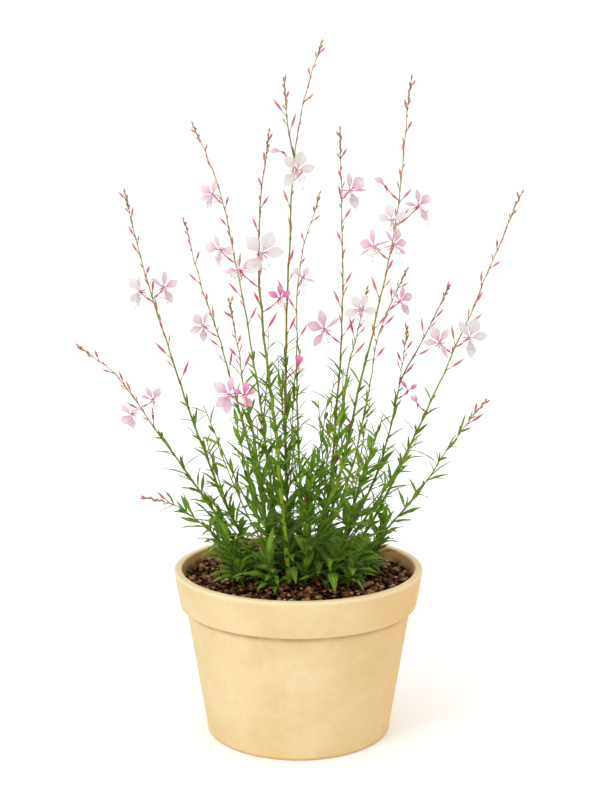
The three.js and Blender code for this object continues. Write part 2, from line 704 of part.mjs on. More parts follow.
function potSolid() {
  const { lipRound, baseRound } = pot;
  const outline = [
    new THREE.Vector2(0, 0),
    ...arcPoints(pot.baseRadius - baseRound, baseRound, baseRound, -90, 0, 2),
    new THREE.Vector2(pot.bodyTopRadius, pot.collarBottom),
    new THREE.Vector2(pot.collarBottomRadius - 1, pot.collarBottom),
    new THREE.Vector2(pot.collarBottomRadius, pot.collarBottom + 1),
    ...arcPoints(pot.rimRadius - lipRound, pot.height - lipRound, lipRound, 0, 90, 2),
    ...arcPoints(pot.mouthRadius + lipRound, pot.height - lipRound, lipRound, 90, 180, 2),
    new THREE.Vector2(pot.innerShoulderRadius, pot.innerShoulder),
    new THREE.Vector2(pot.innerBaseRadius, pot.floorThickness),
    new THREE.Vector2(0, pot.floorThickness),
  ];
  let body = solidFrom(turned(outline));
  for (let i = 0; i < pot.drainCount; i++) {
    const centre = bearingVector((i * 360) / pot.drainCount + 90).multiplyScalar(pot.drainCircle);
    const drill = new THREE.CylinderGeometry(pot.drainRadius, pot.drainRadius, pot.floorThickness * 3, 12);
    drill.rotateX(Math.PI / 2).translate(centre.x, centre.y, 0);
    body = body.subtract(solidFrom(drill));
  }
  return body;
}

// Soil fills the pot. Its surface is crowned and raised in granules, with a plain hole for each stem.
function soilSolid(holes) {
  const edge = innerRadiusAt(soil.level) - gap;
  const surface = Array.from({ length: soil.rings }, (_, i) => {
    const share = 1 - (i + 1) / soil.rings;
    return new THREE.Vector2(edge * share, soil.level + soil.crown * (1 - share * share));
  });
  const outline = [
    new THREE.Vector2(0, pot.floorThickness + gap),
    new THREE.Vector2(pot.innerBaseRadius - gap, pot.floorThickness + gap),
    new THREE.Vector2(pot.innerShoulderRadius - gap, pot.innerShoulder),
    new THREE.Vector2(edge, soil.level),
    ...surface,
  ];
  const draw = drawsFrom(5);
  const heights = new Map();
  const geometry = reshape(turned(outline), (p) => {
    const isRelief = p.z >= soil.level && Math.hypot(p.x, p.y) < edge - 1;
    if (!isRelief) return p;
    const key = Math.round(p.x * 10) + "," + Math.round(p.y * 10);
    if (!heights.has(key)) heights.set(key, (draw() - 0.4) * soil.granule);
    p.z += heights.get(key);
    return p;
  });
  return holes.reduce((body, hole) => body.subtract(hole), solidFrom(geometry)).simplify(tidiness);
}

// The stems take their room first, then the blooms, the buds and last the leaves
const names = Object.keys(stems);
for (const name of names) {
  const stem = stems[name];
  stem.line = lineThrough(stem.route);
  take(name, spheresOnLine(stem.line, stem.radius, stemTipRadius));
  if (!stem.branch) continue;
  const fork = stem.line.pointAt(stem.line.shareAtHeight(stem.branch.from));
  stem.branch.line = lineThrough([fork.toArray(), ...stem.branch.route]);
  take(name, spheresOnLine(stem.branch.line, branchRadius, stemTipRadius));
}
blooms.forEach((entry, i) => take("bloom " + i, spheresOnBloom(entry, stems[entry.stem])));

const solids = {};
names.forEach((name, index) => {
  const { line, radius, buds, firstBud, branch } = stems[name];
  const draw = drawsFrom(index + 11);
  const pieces = [rod(line, radius, stemTipRadius, soil.holeDepth, stemSides)];
  if (buds) pieces.push(...budsOf(name, line, buds, firstBud, draw), tipOf(name, line));
  if (branch) {
    pieces.push(rod(branch.line, branchRadius, stemTipRadius, 0.3, stemSides));
    pieces.push(...budsOf(name, branch.line, branch.buds, branch.from + 14, draw), tipOf(name, branch.line));
  }
  solids[name] = pieces;
});
names.forEach((name, index) => {
  solids[name] = fused([...solids[name], ...leavesOf(name, stems[name], drawsFrom(index + 101))]);
});

// The plain hole that each stem stands in is a little wider than its foot
const holes = names.map((name) => {
  const { line, radius } = stems[name];
  return rod(line, radius + gap * 1.5, stemTipRadius + gap, soil.holeDepth + gap, stemSides);
});

const plant = new THREE.Group();
for (const name of names) {
  const finish = name.startsWith("tuft") ? finishes.tuft : finishes.stem;
  plant.add(meshFrom(name, solids[name], finish));
}
blooms.forEach((entry, i) => {
  const name = "bloom_" + String(i + 1).padStart(2, "0");
  plant.add(meshFrom(name, bloomSolid(entry, stems[entry.stem]), finishes[entry.tone]));
});

const pottedGaura = new THREE.Group();
pottedGaura.add(meshFrom("pot", potSolid(), finishes.pot));
pottedGaura.add(meshFrom("soil", soilSolid(holes), finishes.soil));
pottedGaura.add(plant);

export default pottedGaura;
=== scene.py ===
"""A potted gaura: arching leafy stems with slim buds and clawed blooms, standing in a round cream pot."""
import math

import bpy
import numpy as np
from mathutils import Matrix, Vector, noise


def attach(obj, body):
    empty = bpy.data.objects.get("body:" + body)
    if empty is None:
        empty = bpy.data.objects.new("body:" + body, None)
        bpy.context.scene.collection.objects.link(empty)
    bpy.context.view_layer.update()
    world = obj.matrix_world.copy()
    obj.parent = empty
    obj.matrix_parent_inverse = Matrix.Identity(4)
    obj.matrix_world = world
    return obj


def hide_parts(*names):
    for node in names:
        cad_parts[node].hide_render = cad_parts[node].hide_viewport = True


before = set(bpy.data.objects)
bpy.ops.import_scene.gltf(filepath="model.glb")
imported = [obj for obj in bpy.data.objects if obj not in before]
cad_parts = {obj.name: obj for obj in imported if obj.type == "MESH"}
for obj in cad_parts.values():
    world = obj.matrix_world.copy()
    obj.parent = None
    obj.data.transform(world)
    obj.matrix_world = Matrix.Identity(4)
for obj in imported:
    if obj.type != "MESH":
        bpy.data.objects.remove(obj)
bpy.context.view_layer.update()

# The noise that stems wander by has a new start in each run, unless it is given one.
WANDER_SEED = 1
noise.seed_set(WANDER_SEED)

# The solids' own source draws its random numbers by the same rule.
DRAW = {"seed_factor": 7919, "factor": 1664525, "shift": 1013904223, "range": 2 ** 32}

# Lengths are in millimetres and angles in degrees. Meshes are scaled to metres as they are made. A pair of
# numbers that goes to span_at is a lowest value and the most that a random draw adds to it.
MM = 0.001
UP = np.array([0.0, 0.0, 1.0])
AWAY = np.array([0.0, 1.0, 0.0])
GOLDEN_ANGLE = 137.5

POT_HEIGHT = 146.5
POT_SIDES = 144
RIM_RADIUS = 110
MOUTH_RADIUS = 102.5
LIP_ROUND = 2
COLLAR_BOTTOM = 114.2
COLLAR_BOTTOM_RADIUS = 105
COLLAR_ROUND = 1.2
BODY_TOP_RADIUS = 100
BASE_RADIUS = 81.8
BASE_ROUND = 1.6
FLOOR_THICKNESS = 9
INNER_BASE_RADIUS = 75
INNER_SHOULDER = 100
INNER_SHOULDER_RADIUS = 93
AXIS_RADIUS = 0.5
OUT_OF_ROUND = {"depth": 0.16, "scale": 0.012, "inset": 0.6}
DRAIN = {"count": 5, "radius": 5, "circle": 45, "first_bearing": 90, "below": 5, "sides": 32}
GAP = 0.3

SOIL_LEVEL = 136.5
SOIL_CROWN = 2.5
SOIL_EDGE = 101
SOIL_SIDES = 120
CROWN_RINGS = 40
SOIL_LUMPS = {"layers": ((0.24, 1.3), (0.07, 0.8)), "inset": 1.8}
GRAIN = {
    "seed": 31, "pole": 76, "inset": 1.6, "bearing_spread": 40, "size_power": 2, "off_stems": 0.8,
    "over_edge": 0.4, "sunk": 0.5, "heap": 1.8, "sunk_by_size": 0.3, "tilt": 0.6,
    "stretches": ((0.9, 0.28), (0.86, 0.24), (0.8, 0.25)), "lump": (0.93, 0.14),
}

# The stems' room is taken by spheres, by the same rule as in the solids' own source.
LONGEST_RUN = 64
STEM_TIP_RADIUS = 0.55
STEM_SIDES = 3
BRANCH_RADIUS = 0.9
SPHERE_STEP = 4
CLEARANCE = 0.9
TANGENT_STEP = 0.01
TIP = {"length": 11, "share": 0.985, "sphere": 3}
VIGOUR = (0.85, 0.3)
LEAF = {
    "longest": 38, "shortest": 13, "widest": 3.9, "narrowest": 1.1, "length_power": 0.9, "narrowing": 1.15,
    "first_height": 145, "span": 230, "rank_power": 1.15, "tuft_rank_power": 0.8, "tuft_stature": (0.12, 0.2),
    "low_rise": 48, "high_rise": 66, "rise_spread": 14, "low_bend": 62, "high_bend": 26,
    "bend_by_droop": (0.6, 0.8), "bearing_by_foot": 11, "bearing_spread": 30, "turn_aside": 29,
    "rise_aside": 3, "late_length": 0.8, "attempts": 12, "outline_power": 0.85, "around_edge": 0.35,
    "least_sphere": 1.9,
}
LOWEST_LEAF = {"over_soil": 143.5, "over_rim": 150, "soil_reach": 92}
OUTER = {"reach": 88, "above_stature": 0.1, "leaf_length": 0.88, "leaf_width": 0.5, "infill_width": 0.62}
BUD = {
    "longest": 15, "shortest": 7, "radius": 1.25, "tip_radius": 0.9, "rank_power": 0.85, "bearing_spread": 40,
    "lean": 27, "lean_spread": 14, "turn_aside": 45, "attempts": 8, "spheres_at": (0.4, 0.7, 1),
    "around": 0.8, "past_fork": 14,
}
PETAL = {
    "slenderness": 0.34, "closed_share": 0.55, "rise": 16, "bend": 30, "root_reach": 0.3, "layer": 0.4,
    "inner_length": 0.93, "outline_power": 1.75, "spheres_at": (0.35, 0.6, 0.85), "least_sphere": 2,
    "around": 0.5, "hub_sphere": 4, "stalk_sphere": 2.2,
}

# From here on the numbers are for what the solids leave out, or have in a plainer form.

# How thickly a stem is set with small leaves and twigs, where that isn't 1.
FULLNESS = {
    "stem_centre_right": 0.25, "stem_front_right": 0.25, "shoot_rear": 0.1, "stem_right_tall": 0.5,
    "stem_front_left": 0.35, "shoot_front_left": 0.45, "stem_back_left": 0.6,
    "stem_centre_tall": 1.6, "stem_back_centre": 1.6, "shoot_front_middle": 1.5,
}
IN_VIEW = {"stem": "stem_front_bright", "from": 146, "to": 480, "aside": 5.5, "bloom_share": 0.95}
SWAYS = ((34, 1.1, 0), (11, 0.55, 7))
FIRM_FOOT = 8
STEM = {
    "step": 2.6, "tip": 0.28, "power": 0.5, "stout_power": 0.66, "stout_over": 2.1, "scale": 0.95,
    "node_length": 1.8, "node_swelling": 0.2, "sides": 8, "buried": 5, "shoot_upto": 0.5,
}
SHARP_ANGLE = 62
LEAF_THICKNESS = 0.42
BROAD_BELOW = 0.35
BROAD_LEAF = {"teeth": 0.12, "fold": (0.1, 0.2), "wave": 0.2, "rows": 21}
NARROW_LEAF = {"teeth": 0, "fold": (0.2, 0.2), "wave": 0.06, "rows": 12}
SMALL_LEAF = {"rows": 8, "columns": 2}
FINE_COLUMNS = 4
LEAF_FORM = {
    "fullness": ([0, 0.16, 0.36, 1], [1.25, 1.15, 0.84, 0.9]), "slimness": 0.125, "tooth_count": 7,
    "stalk": ([0, 0.12, 0.97, 1], [0.4, 0.3, 0.12, 0.04]), "fold_power": 1.3,
    "long_waves": 10, "short_waves": 17, "short_wave": 0.6,
    "low_tint": 0.1, "high_tint": 0.5, "tint_spread": 0.42, "twist": 40,
}
STANDING = {"stature": 0.25, "bend": 0.55}
TUFT_LEAF = {"stature": 0.4, "half": 0.95}
WAVE_START = 6
SIDE_LEAF = {
    "often": 1.6, "aside": (24, 22), "length": (0.42, 0.34), "half": (0.55, 0.3), "least_half": 1.3,
    "rise": (46, 26), "bend": (10, 20), "shortest": 9, "around": 0.4,
}
OVER_SOIL = {"below": 168, "within": 97}
INFILL = {
    "count": 29, "outer_count": 15, "tuft_count": 14, "below_leaves": 10, "below_shoot": 20, "below_tip": 2,
    "rank_power": 1.15, "tuft_stature": (0.04, 0.12), "low_below": 0.2, "fine_below": 0.45,
    "first_bearing": 63, "bearing_spread": 40, "length_power": 0.7, "length": (0.72, 0.4),
    "narrowing": 1.1, "half": (0.88, 0.34), "attempts": 5, "turn_aside": 67, "around": 0.45, "kept": 0.7,
}
ARCHING = {"rise": (48, 16), "bend": (50, 44)}
UPRIGHT = {"rise": (40, 28), "bend": (8, 26)}
BASAL = {
    "count": 4, "tuft_count": 8, "height": (139.5, 7), "fan": 300, "length": (21, 14), "rise": (40, 14),
    "bend": (66, 26), "half": (2.3, 0.9), "stature": 0.2, "attempts": 4, "turn_aside": 31, "lowest": 141.2,
    "around": 1.2, "kept": 0.8,
}
TWIG = {
    "count": 5, "from": 160, "below_leaves": 56, "rank_power": 1.1, "longest": 100, "shortest": 52,
    "shorter_over": 170, "length": (0.7, 0.5), "lean": (12, 15), "bearing_spread": 80, "attempts": 6,
    "turn_aside": 59, "points": 14, "bow_power": 0.8, "lift": 8, "front": -92, "around": 1.0,
    "foot_radius": 0.75, "tip_radius": 0.35, "sides": 6, "upto": 0.5,
}
LOW_TWIG = {"stems": ("stem_left", "stem_rear_left"), "count": 3, "top": 205, "length": 0.65, "reach": 82}
TWIG_LEAF = {
    "apart": 9.6, "first": 0.1, "span": 0.88, "bearing_spread": 50, "longest": 24, "shortest": 13,
    "length": (0.72, 0.5), "rise": (38, 30), "bend": (8, 26), "widest": 2.3, "narrowest": 1.5,
    "half": (0.8, 0.4), "stature": (0.5, 0.5), "around": 0.3,
}
BUD_FORM = {
    "points": 14, "bow": 0.08, "stalk_share": 0.3, "swell_power": 0.85, "sides": 8,
    "stalk": ([0, 0.3, 0.92, 1], [0.34, 0.28, 0.24, 0.07]),
}
SLIP_POWER = 0.7
BRACT = {
    "forward": 0.35, "rise": 4, "bend": -20, "edge": 0.08, "half": 0.62, "cup": -0.3, "thickness": 0.3,
    "rows": 6, "columns": 2,
}
OPENING_BUD = {
    "bract": (3.5, 2), "off_axis": 0.7, "vigour": ([7, 14], [1.0, 1.38]), "less": 0.1, "length_spread": 0.3,
    "outward": 0.2, "radius": 0.9, "tint": 0.68,
}
YOUNG_BUD = {
    "between": (0.35, 0.3), "turn": (120, 120), "outward": (0.3, 0.25), "length": (0.35, 0.25),
    "radius": 0.62, "tint": (0.3, 0.6), "bract": 3,
}
TIP_BUDS = {
    "count": 6, "first": 24, "last": 4, "outward": (0.5, 0.2), "length": (6, 4.5), "radius": (0.65, 0.6),
    "tint": (0.76, 0.24), "bract": 2.4,
}
END_BUD = {"below": 4, "length": 6.5, "radius": 0.8, "tint": 0.88}
WITHERED_BUD = {"outward": 0.35, "radius": 1.3, "tint": 0.96}
PETAL_THICKNESS = 0.28
PETAL_FORM = {
    "cup": (-0.16, 0.36), "claw_share": 0.5, "claw_power": 0.6, "outline_power": 1.3,
    "claw": ([0, 0.3, 0.96, 1], [0.45, 0.34, 0.2, 0.08]), "crease": 0.05, "crease_width": 0.2, "fold": 0.14,
    "wave": 0.07, "long_waves": 12, "ruffle": 0.05, "short_waves": 19,
    "slim_from": 0.5, "slim_span": 0.3, "slim_tint": 0.75, "tint_spread": 0.25, "twist": 24,
    "rows": 20, "columns": 8,
}
TUBE = {
    "points": 14, "bow": 0.05, "into_hub": 0.4, "radius": 0.4, "sides": 8, "ovary": 0.55,
    "ovary_at": 0.34, "ovary_length": 0.14, "flare": ([0, 0.8, 0.95, 1], [0, 0, 0.7, 0.55]),
}
SEPAL = {
    "beside_gap": 24, "beside_closed_gap": 20, "angle_spread": 14, "behind_hub": 0.5, "reflex": 0.9,
    "length": (0.56, 0.12), "rise": 6, "bend": (36, 30), "edge": 0.1, "half": 0.36, "cup": 0.4,
    "thickness": 0.3, "rows": 10, "columns": 4,
}
STAMEN = {"length": (0.5, 0.18), "radius": 0.15}
STYLE = {"length": (0.85, 0.18), "radius": 0.18, "lobes": 4, "lobe_length": 1.1, "lobe_radius": 0.22}
STAMENS = {
    "count": 8, "lean": 282, "lean_spread": 30, "apart": 13, "apart_spread": 8, "forward": (0.75, 0.35),
    "before_hub": 0.6, "droop": 0.3, "points": 9, "sides": 5,
}
ANTHER = {"points": 7, "half_length": 0.95, "end_radius": 0.08, "swelling": 0.2, "sides": 6}

# What stands around the part has its lengths in metres, and the camera's pitch is in radians.
FLOOR = {"radius": 4, "sides": 96, "below": 0.0003, "shade": 0.9, "glow_from": 0.25, "glow_to": 1.4}
FLOOR_GLOW = (0.12, 0.2)
SKY_STRENGTH = 1.06
LAMP = {"size": 0.9, "energy": 17, "place": (-1.3, -1.4, 1.7), "aim": (0, 0, 0.25)}
CAMERA = {"lens": 57.05, "place": (0.0014, -1.0911, 0.4596), "pitch": 0.150}

# Each stem has its foot radius, its count of leaves and the height of the last one, its count of buds and
# the height of the first, and its route up from the soil.
STEM_COLUMNS = ("radius", "leaves", "leaf_top", "buds", "first_bud", "route")
STEM_ROWS = [
    ("stem_centre_tall", 1.9, 12, 350, 11, 330,
     [(-7, 4, 138), (-11, 8, 267), (-8, 18, 424), (0, 26, 527), (20, 34, 602)]),
    ("stem_centre_right", 1.9, 12, 340, 10, 335,
     [(21, 8, 138), (29, 2, 229), (37, -8, 347), (37, -16, 427), (34, -30, 524)]),
    ("stem_front_bright", 2.3, 12, 335, 9, 340,
     [(-8, -26, 138), (-17, -38, 253), (-28, -52, 350), (-32, -62, 434), (-23, -76, 520)]),
    ("stem_back_left", 1.8, 12, 330, 10, 340,
     [(-16, 16, 138), (-29, 36, 244), (-46, 62, 351), (-69, 86, 463), (-97, 100, 537)]),
    ("stem_left", 1.8, 12, 300, 10, 300,
     [(-32, -8, 138), (-73, -20, 232), (-106, -38, 337), (-126, -48, 407), (-140, -56, 473)]),
    ("stem_rear_left", 1.7, 11, 290, 8, 290,
     [(-20, 30, 138), (-45, 64, 238), (-73, 104, 330), (-95, 126, 393), (-110, 140, 450)]),
    ("stem_far_left", 1.7, 11, 262, 7, 258,
     [(-36, 6, 138), (-80, 10, 201), (-126, 18, 264), (-159, 22, 311), (-196, 26, 340)]),
    ("stem_right_tall", 2, 12, 340, 11, 345,
     [(17, -12, 138), (44, -26, 273), (63, -42, 364), (79, -52, 448), (89, -66, 562)]),
    ("stem_far_right", 2, 12, 300, 10, 305,
     [(34, -4, 138), (77, 2, 208), (118, 12, 296), (156, 22, 379), (195, 30, 475)]),
    ("stem_right_forked", 1.7, 12, 300, 5, 296,
     [(30, 18, 138), (74, 44, 227), (92, 62, 297), (100, 70, 352)]),
    ("stem_right_low", 1.6, 11, 285, 3, 278,
     [(44, -14, 138), (70, -30, 180), (102, -48, 225), (125, -60, 265), (153, -70, 305)]),
    ("stem_back_right", 1.8, 12, 300, 7, 305,
     [(12, 30, 138), (43, 62, 201), (62, 90, 266), (78, 116, 345), (105, 134, 402)]),
    ("stem_back_centre", 1.8, 12, 310, 7, 320,
     [(2, 22, 138), (1, 52, 222), (-2, 88, 308), (1, 120, 401), (21, 146, 475)]),
    ("stem_left_low", 1.5, 11, 216, 2, 210,
     [(-37, -22, 138), (-63, -32, 171), (-81, -40, 193), (-102, -48, 211), (-130, -54, 222)]),
    ("stem_front_left", 1.7, 12, 330, 6, 315,
     [(-24, -14, 138), (-33, -34, 240), (-43, -50, 298), (-49, -62, 345), (-56, -72, 387)]),
    ("stem_front_right", 1.7, 12, 330, 5, 325,
     [(10, -4, 138), (28, -36, 231), (40, -70, 330), (48, -82, 364), (55, -94, 398)]),
    ("shoot_front_left", 1.6, 11, 290, 0, 0, [(-22, -40, 138), (-36, -56, 215), (-52, -70, 292)]),
    ("shoot_front_right", 1.6, 11, 280, 0, 0, [(24, -36, 138), (46, -52, 212), (66, -66, 284)]),
    ("shoot_front_middle", 1.5, 11, 265, 0, 0, [(6, -34, 138), (8, -56, 205), (12, -72, 270)]),
    ("shoot_rear", 1.6, 12, 300, 0, 0, [(20, 44, 138), (26, 72, 220), (34, 98, 304)]),
    ("tuft_left", 1.5, 8, 182, 0, 0, [(-47, -38, 138), (-53, -45, 160), (-58, -52, 184)]),
    ("tuft_front", 1.5, 8, 180, 0, 0, [(-20, -53, 138), (-24, -61, 160), (-26, -68, 182)]),
    ("tuft_right", 1.5, 8, 182, 0, 0, [(42, -40, 138), (47, -49, 160), (53, -56, 184)]),
    ("tuft_far_right", 1.5, 8, 184, 0, 0, [(60, 4, 138), (68, 6, 161), (76, 8, 186)]),
    ("tuft_far_left", 1.5, 8, 184, 0, 0, [(-58, 14, 138), (-66, 16, 161), (-74, 17, 186)]),
    ("tuft_rear", 1.5, 8, 184, 0, 0, [(-8, 56, 138), (-10, 66, 161), (-12, 75, 186)]),
]
STEMS = {name: dict(zip(STEM_COLUMNS, row)) for name, *row in STEM_ROWS}

# A branch leaves its stem at a height and goes on along its own route.
STEMS["stem_centre_tall"]["branch"] = {"from": 500, "buds": 4, "route": [(-9, 22, 531), (-13, 12, 568)]}
STEMS["stem_right_forked"]["branch"] = {"from": 300, "buds": 5, "route": [(126, 84, 360), (141, 92, 389)]}

# Each bloom sits on a stem at a height. Its stalk leaves at a bearing (0 right, 90 back, 270 front) and
# rises for a reach, then its face looks along a bearing and a tilt. The petals are angles in that face,
# anticlockwise from the right, size is a petal's length, and breadths are the petals' widths as shares of it.
BLOOM_COLUMNS = ("stem", "height", "bearing", "rise", "reach", "face", "size", "petals", "breadths", "tone")
BLOOM_ROWS = [
    ("stem_back_left", 464, 207, 40, 12, (262, 8), 13.5,
     (78, 144, 200, 249), (0.4, 0.62, 0.42, 0.4), "blush"),
    ("stem_centre_tall", 484, 289, 39, 12, (276, 4), 17,
     (11, 73, 130, 230), (0.5, 0.62, 0.6, 0.58), "white"),
    ("stem_centre_right", 467, 317, 40, 11, (285, 10), 16,
     (2, 40, 91, 287), (0.16, 0.65, 0.34, 0.5), "blush"),
    ("stem_right_tall", 446, 347, 40, 24, (290, 4), 14,
     (44, 100, 170, 299), (0.55, 0.34, 0.24, 0.42), "rose"),
    ("stem_front_bright", 416, 284, 41, 12, (268, 6), 19.5,
     (4, 63, 133, 238), (0.5, 0.6, 0.62, 0.6), "white"),
    ("stem_back_left", 410, 204, 40, 19, (255, 6), 15,
     (112, 166, 261, 355), (0.28, 0.64, 0.38, 0.5), "blush"),
    ("stem_front_bright", 396, 159, 39, 21, (240, 30), 14.5,
     (28, 52, 118, 188), (0.32, 0.16, 0.13, 0.42), "rose"),
    ("stem_left", 386, 331, 41, 14, (280, 6), 14,
     (25, 84, 140, 299), (0.5, 0.32, 0.26, 0.44), "rose"),
    ("stem_left", 383, 212, 40, 15, (255, 4), 13,
     (92, 126, 230, 266), (0.3, 0.6, 0.48, 0.34), "white"),
    ("stem_front_bright", 374, 16, 41, 19, (290, 20), 12,
     (32, 88, 150), (0.5, 0.46, 0.5), "deep"),
    ("stem_back_centre", 387, 293, 42, 11, (270, 14), 13,
     (60, 128, 345), (0.45, 0.5, 0.22), "blush"),
    ("stem_rear_left", 338, 202, 40, 18, (262, 10), 15,
     (78, 131, 204, 274), (0.32, 0.6, 0.52, 0.5), "blush"),
    ("stem_centre_right", 345, 211, 39, 20, (262, 6), 17.5,
     (40, 104, 163, 236), (0.2, 0.44, 0.56, 0.36), "rose"),
    ("stem_front_right", 374, 263, 36, 10, (275, 8), 14,
     (0, 70, 117, 193), (0.5, 0.38, 0.56, 0.54), "white"),
    ("stem_back_right", 362, 330, 40, 16, (285, 8), 15,
     (27, 76, 124, 302), (0.6, 0.34, 0.26, 0.44), "rose"),
    ("stem_right_tall", 442, 256, 39, 12, (265, 12), 14,
     (31, 104, 160), (0.5, 0.55, 0.5), "white"),
    ("stem_right_tall", 419, 160, 41, 15, (245, 12), 14.5,
     (20, 102, 168, 215), (0.15, 0.36, 0.6, 0.14), "rose"),
    ("stem_right_tall", 423, 283, 40, 12, (300, 10), 14,
     (7, 66, 120, 320), (0.52, 0.42, 0.22, 0.18), "rose"),
    ("stem_far_right", 333, 212, 38, 17, (262, 8), 16,
     (60, 116, 177, 300), (0.4, 0.6, 0.4, 0.17), "blush"),
    ("stem_far_right", 338, 331, 39, 16, (278, 6), 18,
     (6, 69, 124, 274), (0.5, 0.64, 0.44, 0.46), "white"),
    ("stem_front_left", 295, 211, 40, 20, (262, 10), 16.5,
     (86, 145, 222, 262), (0.42, 0.56, 0.58, 0.48), "rose"),
    ("stem_front_left", 300, 263, 41, 12, (282, 12), 11.5,
     (20, 77, 150, 300), (0.36, 0.5, 0.4, 0.5), "deep"),
    ("stem_far_left", 283, 335, 39, 15, (275, 20), 13,
     (62, 118, 160), (0.56, 0.34, 0.22), "rose"),
    ("stem_far_left", 284, 232, -20, 11, (258, 0), 13,
     (40, 137, 222, 276), (0.22, 0.48, 0.7, 0.58), "blush"),
    ("stem_centre_tall", 313, 327, 41, 15, (280, 30), 12.5,
     (64, 80, 96), (0.2, 0.4, 0.2), "deep"),
    ("stem_right_forked", 286, 324, 39, 15, (285, 20), 11.5,
     (30, 122), (0.36, 0.32), "deep"),
    ("stem_far_right", 283, 219, 38, 12, (265, 25), 10,
     (105, 130), (0.36, 0.32), "rose"),
    ("stem_right_tall", 467, 209, 40, 16, (262, 25), 11,
     (128, 142), (0.36, 0.3), "rose"),
    ("stem_centre_tall", 499, 202, 39, 14, (260, 30), 11,
     (166, 182), (0.34, 0.3), "rose"),
]
BLOOMS = [dict(zip(BLOOM_COLUMNS, row)) for row in BLOOM_ROWS]

# Withered buds caught among the leaves: a stem, a height on it, a bearing and a length.
WITHERED = [
    ("shoot_front_middle", 212, 200, 17), ("stem_back_left", 262, 215, 15), ("stem_front_right", 246, 20, 13),
    ("stem_right_tall", 268, 250, 13),
]

# A stem's skin has a shade for its nodes and screen colours at these places, from its foot to its tip.
SKIN_PLACES = (0.0, 0.3, 0.55, 0.78, 1.0)
SKINS = {
    "green": (0.7, (88, 120, 18), (102, 132, 24), (130, 144, 36), (160, 152, 68), (154, 118, 62)),
    "bright": (0.25, (184, 214, 44), (132, 160, 32), (108, 118, 20), (120, 122, 32), (142, 110, 52)),
    "ruddy": (0.7, (114, 66, 36), (126, 78, 38), (122, 124, 30), (162, 148, 70), (156, 104, 64)),
    "russet": (0.7, (96, 122, 24), (122, 94, 50), (132, 140, 36), (166, 156, 68), (154, 112, 62)),
}
SKIN_OF = {
    "stem_front_bright": "bright", "stem_centre_right": "ruddy", "stem_right_forked": "ruddy",
    "stem_centre_tall": "russet",
}

# A petal's claw, the flush beyond it and its blade.
PETAL_TONES = {
    "white": ((200, 132, 140), (209, 196, 195), (213, 209, 205)),
    "blush": ((190, 80, 114), (214, 177, 188), (216, 209, 209)),
    "rose": ((188, 60, 106), (211, 159, 180), (216, 199, 206)),
    "deep": ((180, 46, 98), (209, 98, 149), (219, 157, 188)),
}

# The place of each material in its piece's slots.
SKIN_KIND, LEAF_KIND, BUD_KIND, BRACT_KIND = range(4)
PETAL_KIND, TUBE_KIND, THREAD_KIND, ANTHER_KIND = range(4)

# Where each kind of growth starts its random draws, one number apart from stem to stem.
SEEDS = {"buds": 11, "leaves": 101, "blooms": 401, "stems": 601, "extras": 801}


def mix(a, b, share):
    """The number or point at a share of the way from one to another."""
    return a + (b - a) * share


def span_at(span, share):
    """A pair's first number, and a share of its second one more."""
    return span[0] + span[1] * share


def unit(vector):
    return vector / np.linalg.norm(vector)


def square_to(axis, vector):
    """The unit vector nearest to a vector that stands square to an axis."""
    return unit(vector - axis * vector.dot(axis))


def rotated(vector, axis, angle):
    """A vector turned about an axis."""
    return np.array(Matrix.Rotation(math.radians(angle), 3, Vector(axis)) @ Vector(vector))


def toward(bearing, tilt=0):
    """The unit vector along a bearing, raised by a tilt."""
    turn, lift = math.radians(bearing), math.radians(tilt)
    return np.array([math.cos(turn) * math.cos(lift), math.sin(turn) * math.cos(lift), math.sin(lift)])


def draws_from(seed):
    """A seeded source of numbers from 0 to 1."""
    state = seed * DRAW["seed_factor"]

    def draw():
        nonlocal state
        state = (state * DRAW["factor"] + DRAW["shift"]) % DRAW["range"]
        return state / DRAW["range"]

    return draw


class Line:
    """A stem's line: a smooth curve through its route, and the straight runs that its solid has."""

    def __init__(self, route):
        points = [np.array(p, float) for p in route]
        self.sections = len(points) - 1
        self.points = [2 * points[0] - points[1], *points, 2 * points[-1] - points[-2]]
        self.shares = [0.0]
        for i in range(self.sections):
            steps = 2 if np.linalg.norm(points[i] - points[i + 1]) > LONGEST_RUN else 1
            self.shares += [(i + step / steps) / self.sections for step in range(1, steps + 1)]
        self.knots = [self.at(share) for share in self.shares]
        self.top = self.knots[-1][2]

    def at(self, share):
        """A point of the smooth curve."""
        section = min(int(share * self.sections), self.sections - 1)
        t = share * self.sections - section
        before, start, end, after = self.points[section:section + 4]
        leave, arrive = (end - before) / 2, (after - start) / 2
        square = (-3 * start + 3 * end - 2 * leave - arrive) * t * t
        cube = (2 * start - 2 * end + leave + arrive) * t ** 3
        return start + leave * t + square + cube

    def tangent(self, share):
        low, high = max(0, share - TANGENT_STEP), min(1, share + TANGENT_STEP)
        return unit(self.at(high) - self.at(low))

    def run_of(self, share):
        return next(i for i, s in enumerate(self.shares[1:]) if s >= share)

    def run_point(self, share):
        """A point of the straight runs."""
        run = self.run_of(share)
        part = (share - self.shares[run]) / (self.shares[run + 1] - self.shares[run])
        return mix(self.knots[run], self.knots[run + 1], part)

    def run_tangent(self, share):
        run = self.run_of(share)
        return unit(self.knots[run + 1] - self.knots[run])

    def share_at_height(self, height):
        run = max(0, next(i for i, knot in enumerate(self.knots) if knot[2] >= height) - 1)
        low, high = self.knots[run][2], self.knots[run + 1][2]
        return mix(self.shares[run], self.shares[run + 1], (height - low) / (high - low))

    def length(self):
        return sum(np.linalg.norm(b - a) for a, b in zip(self.knots, self.knots[1:]))


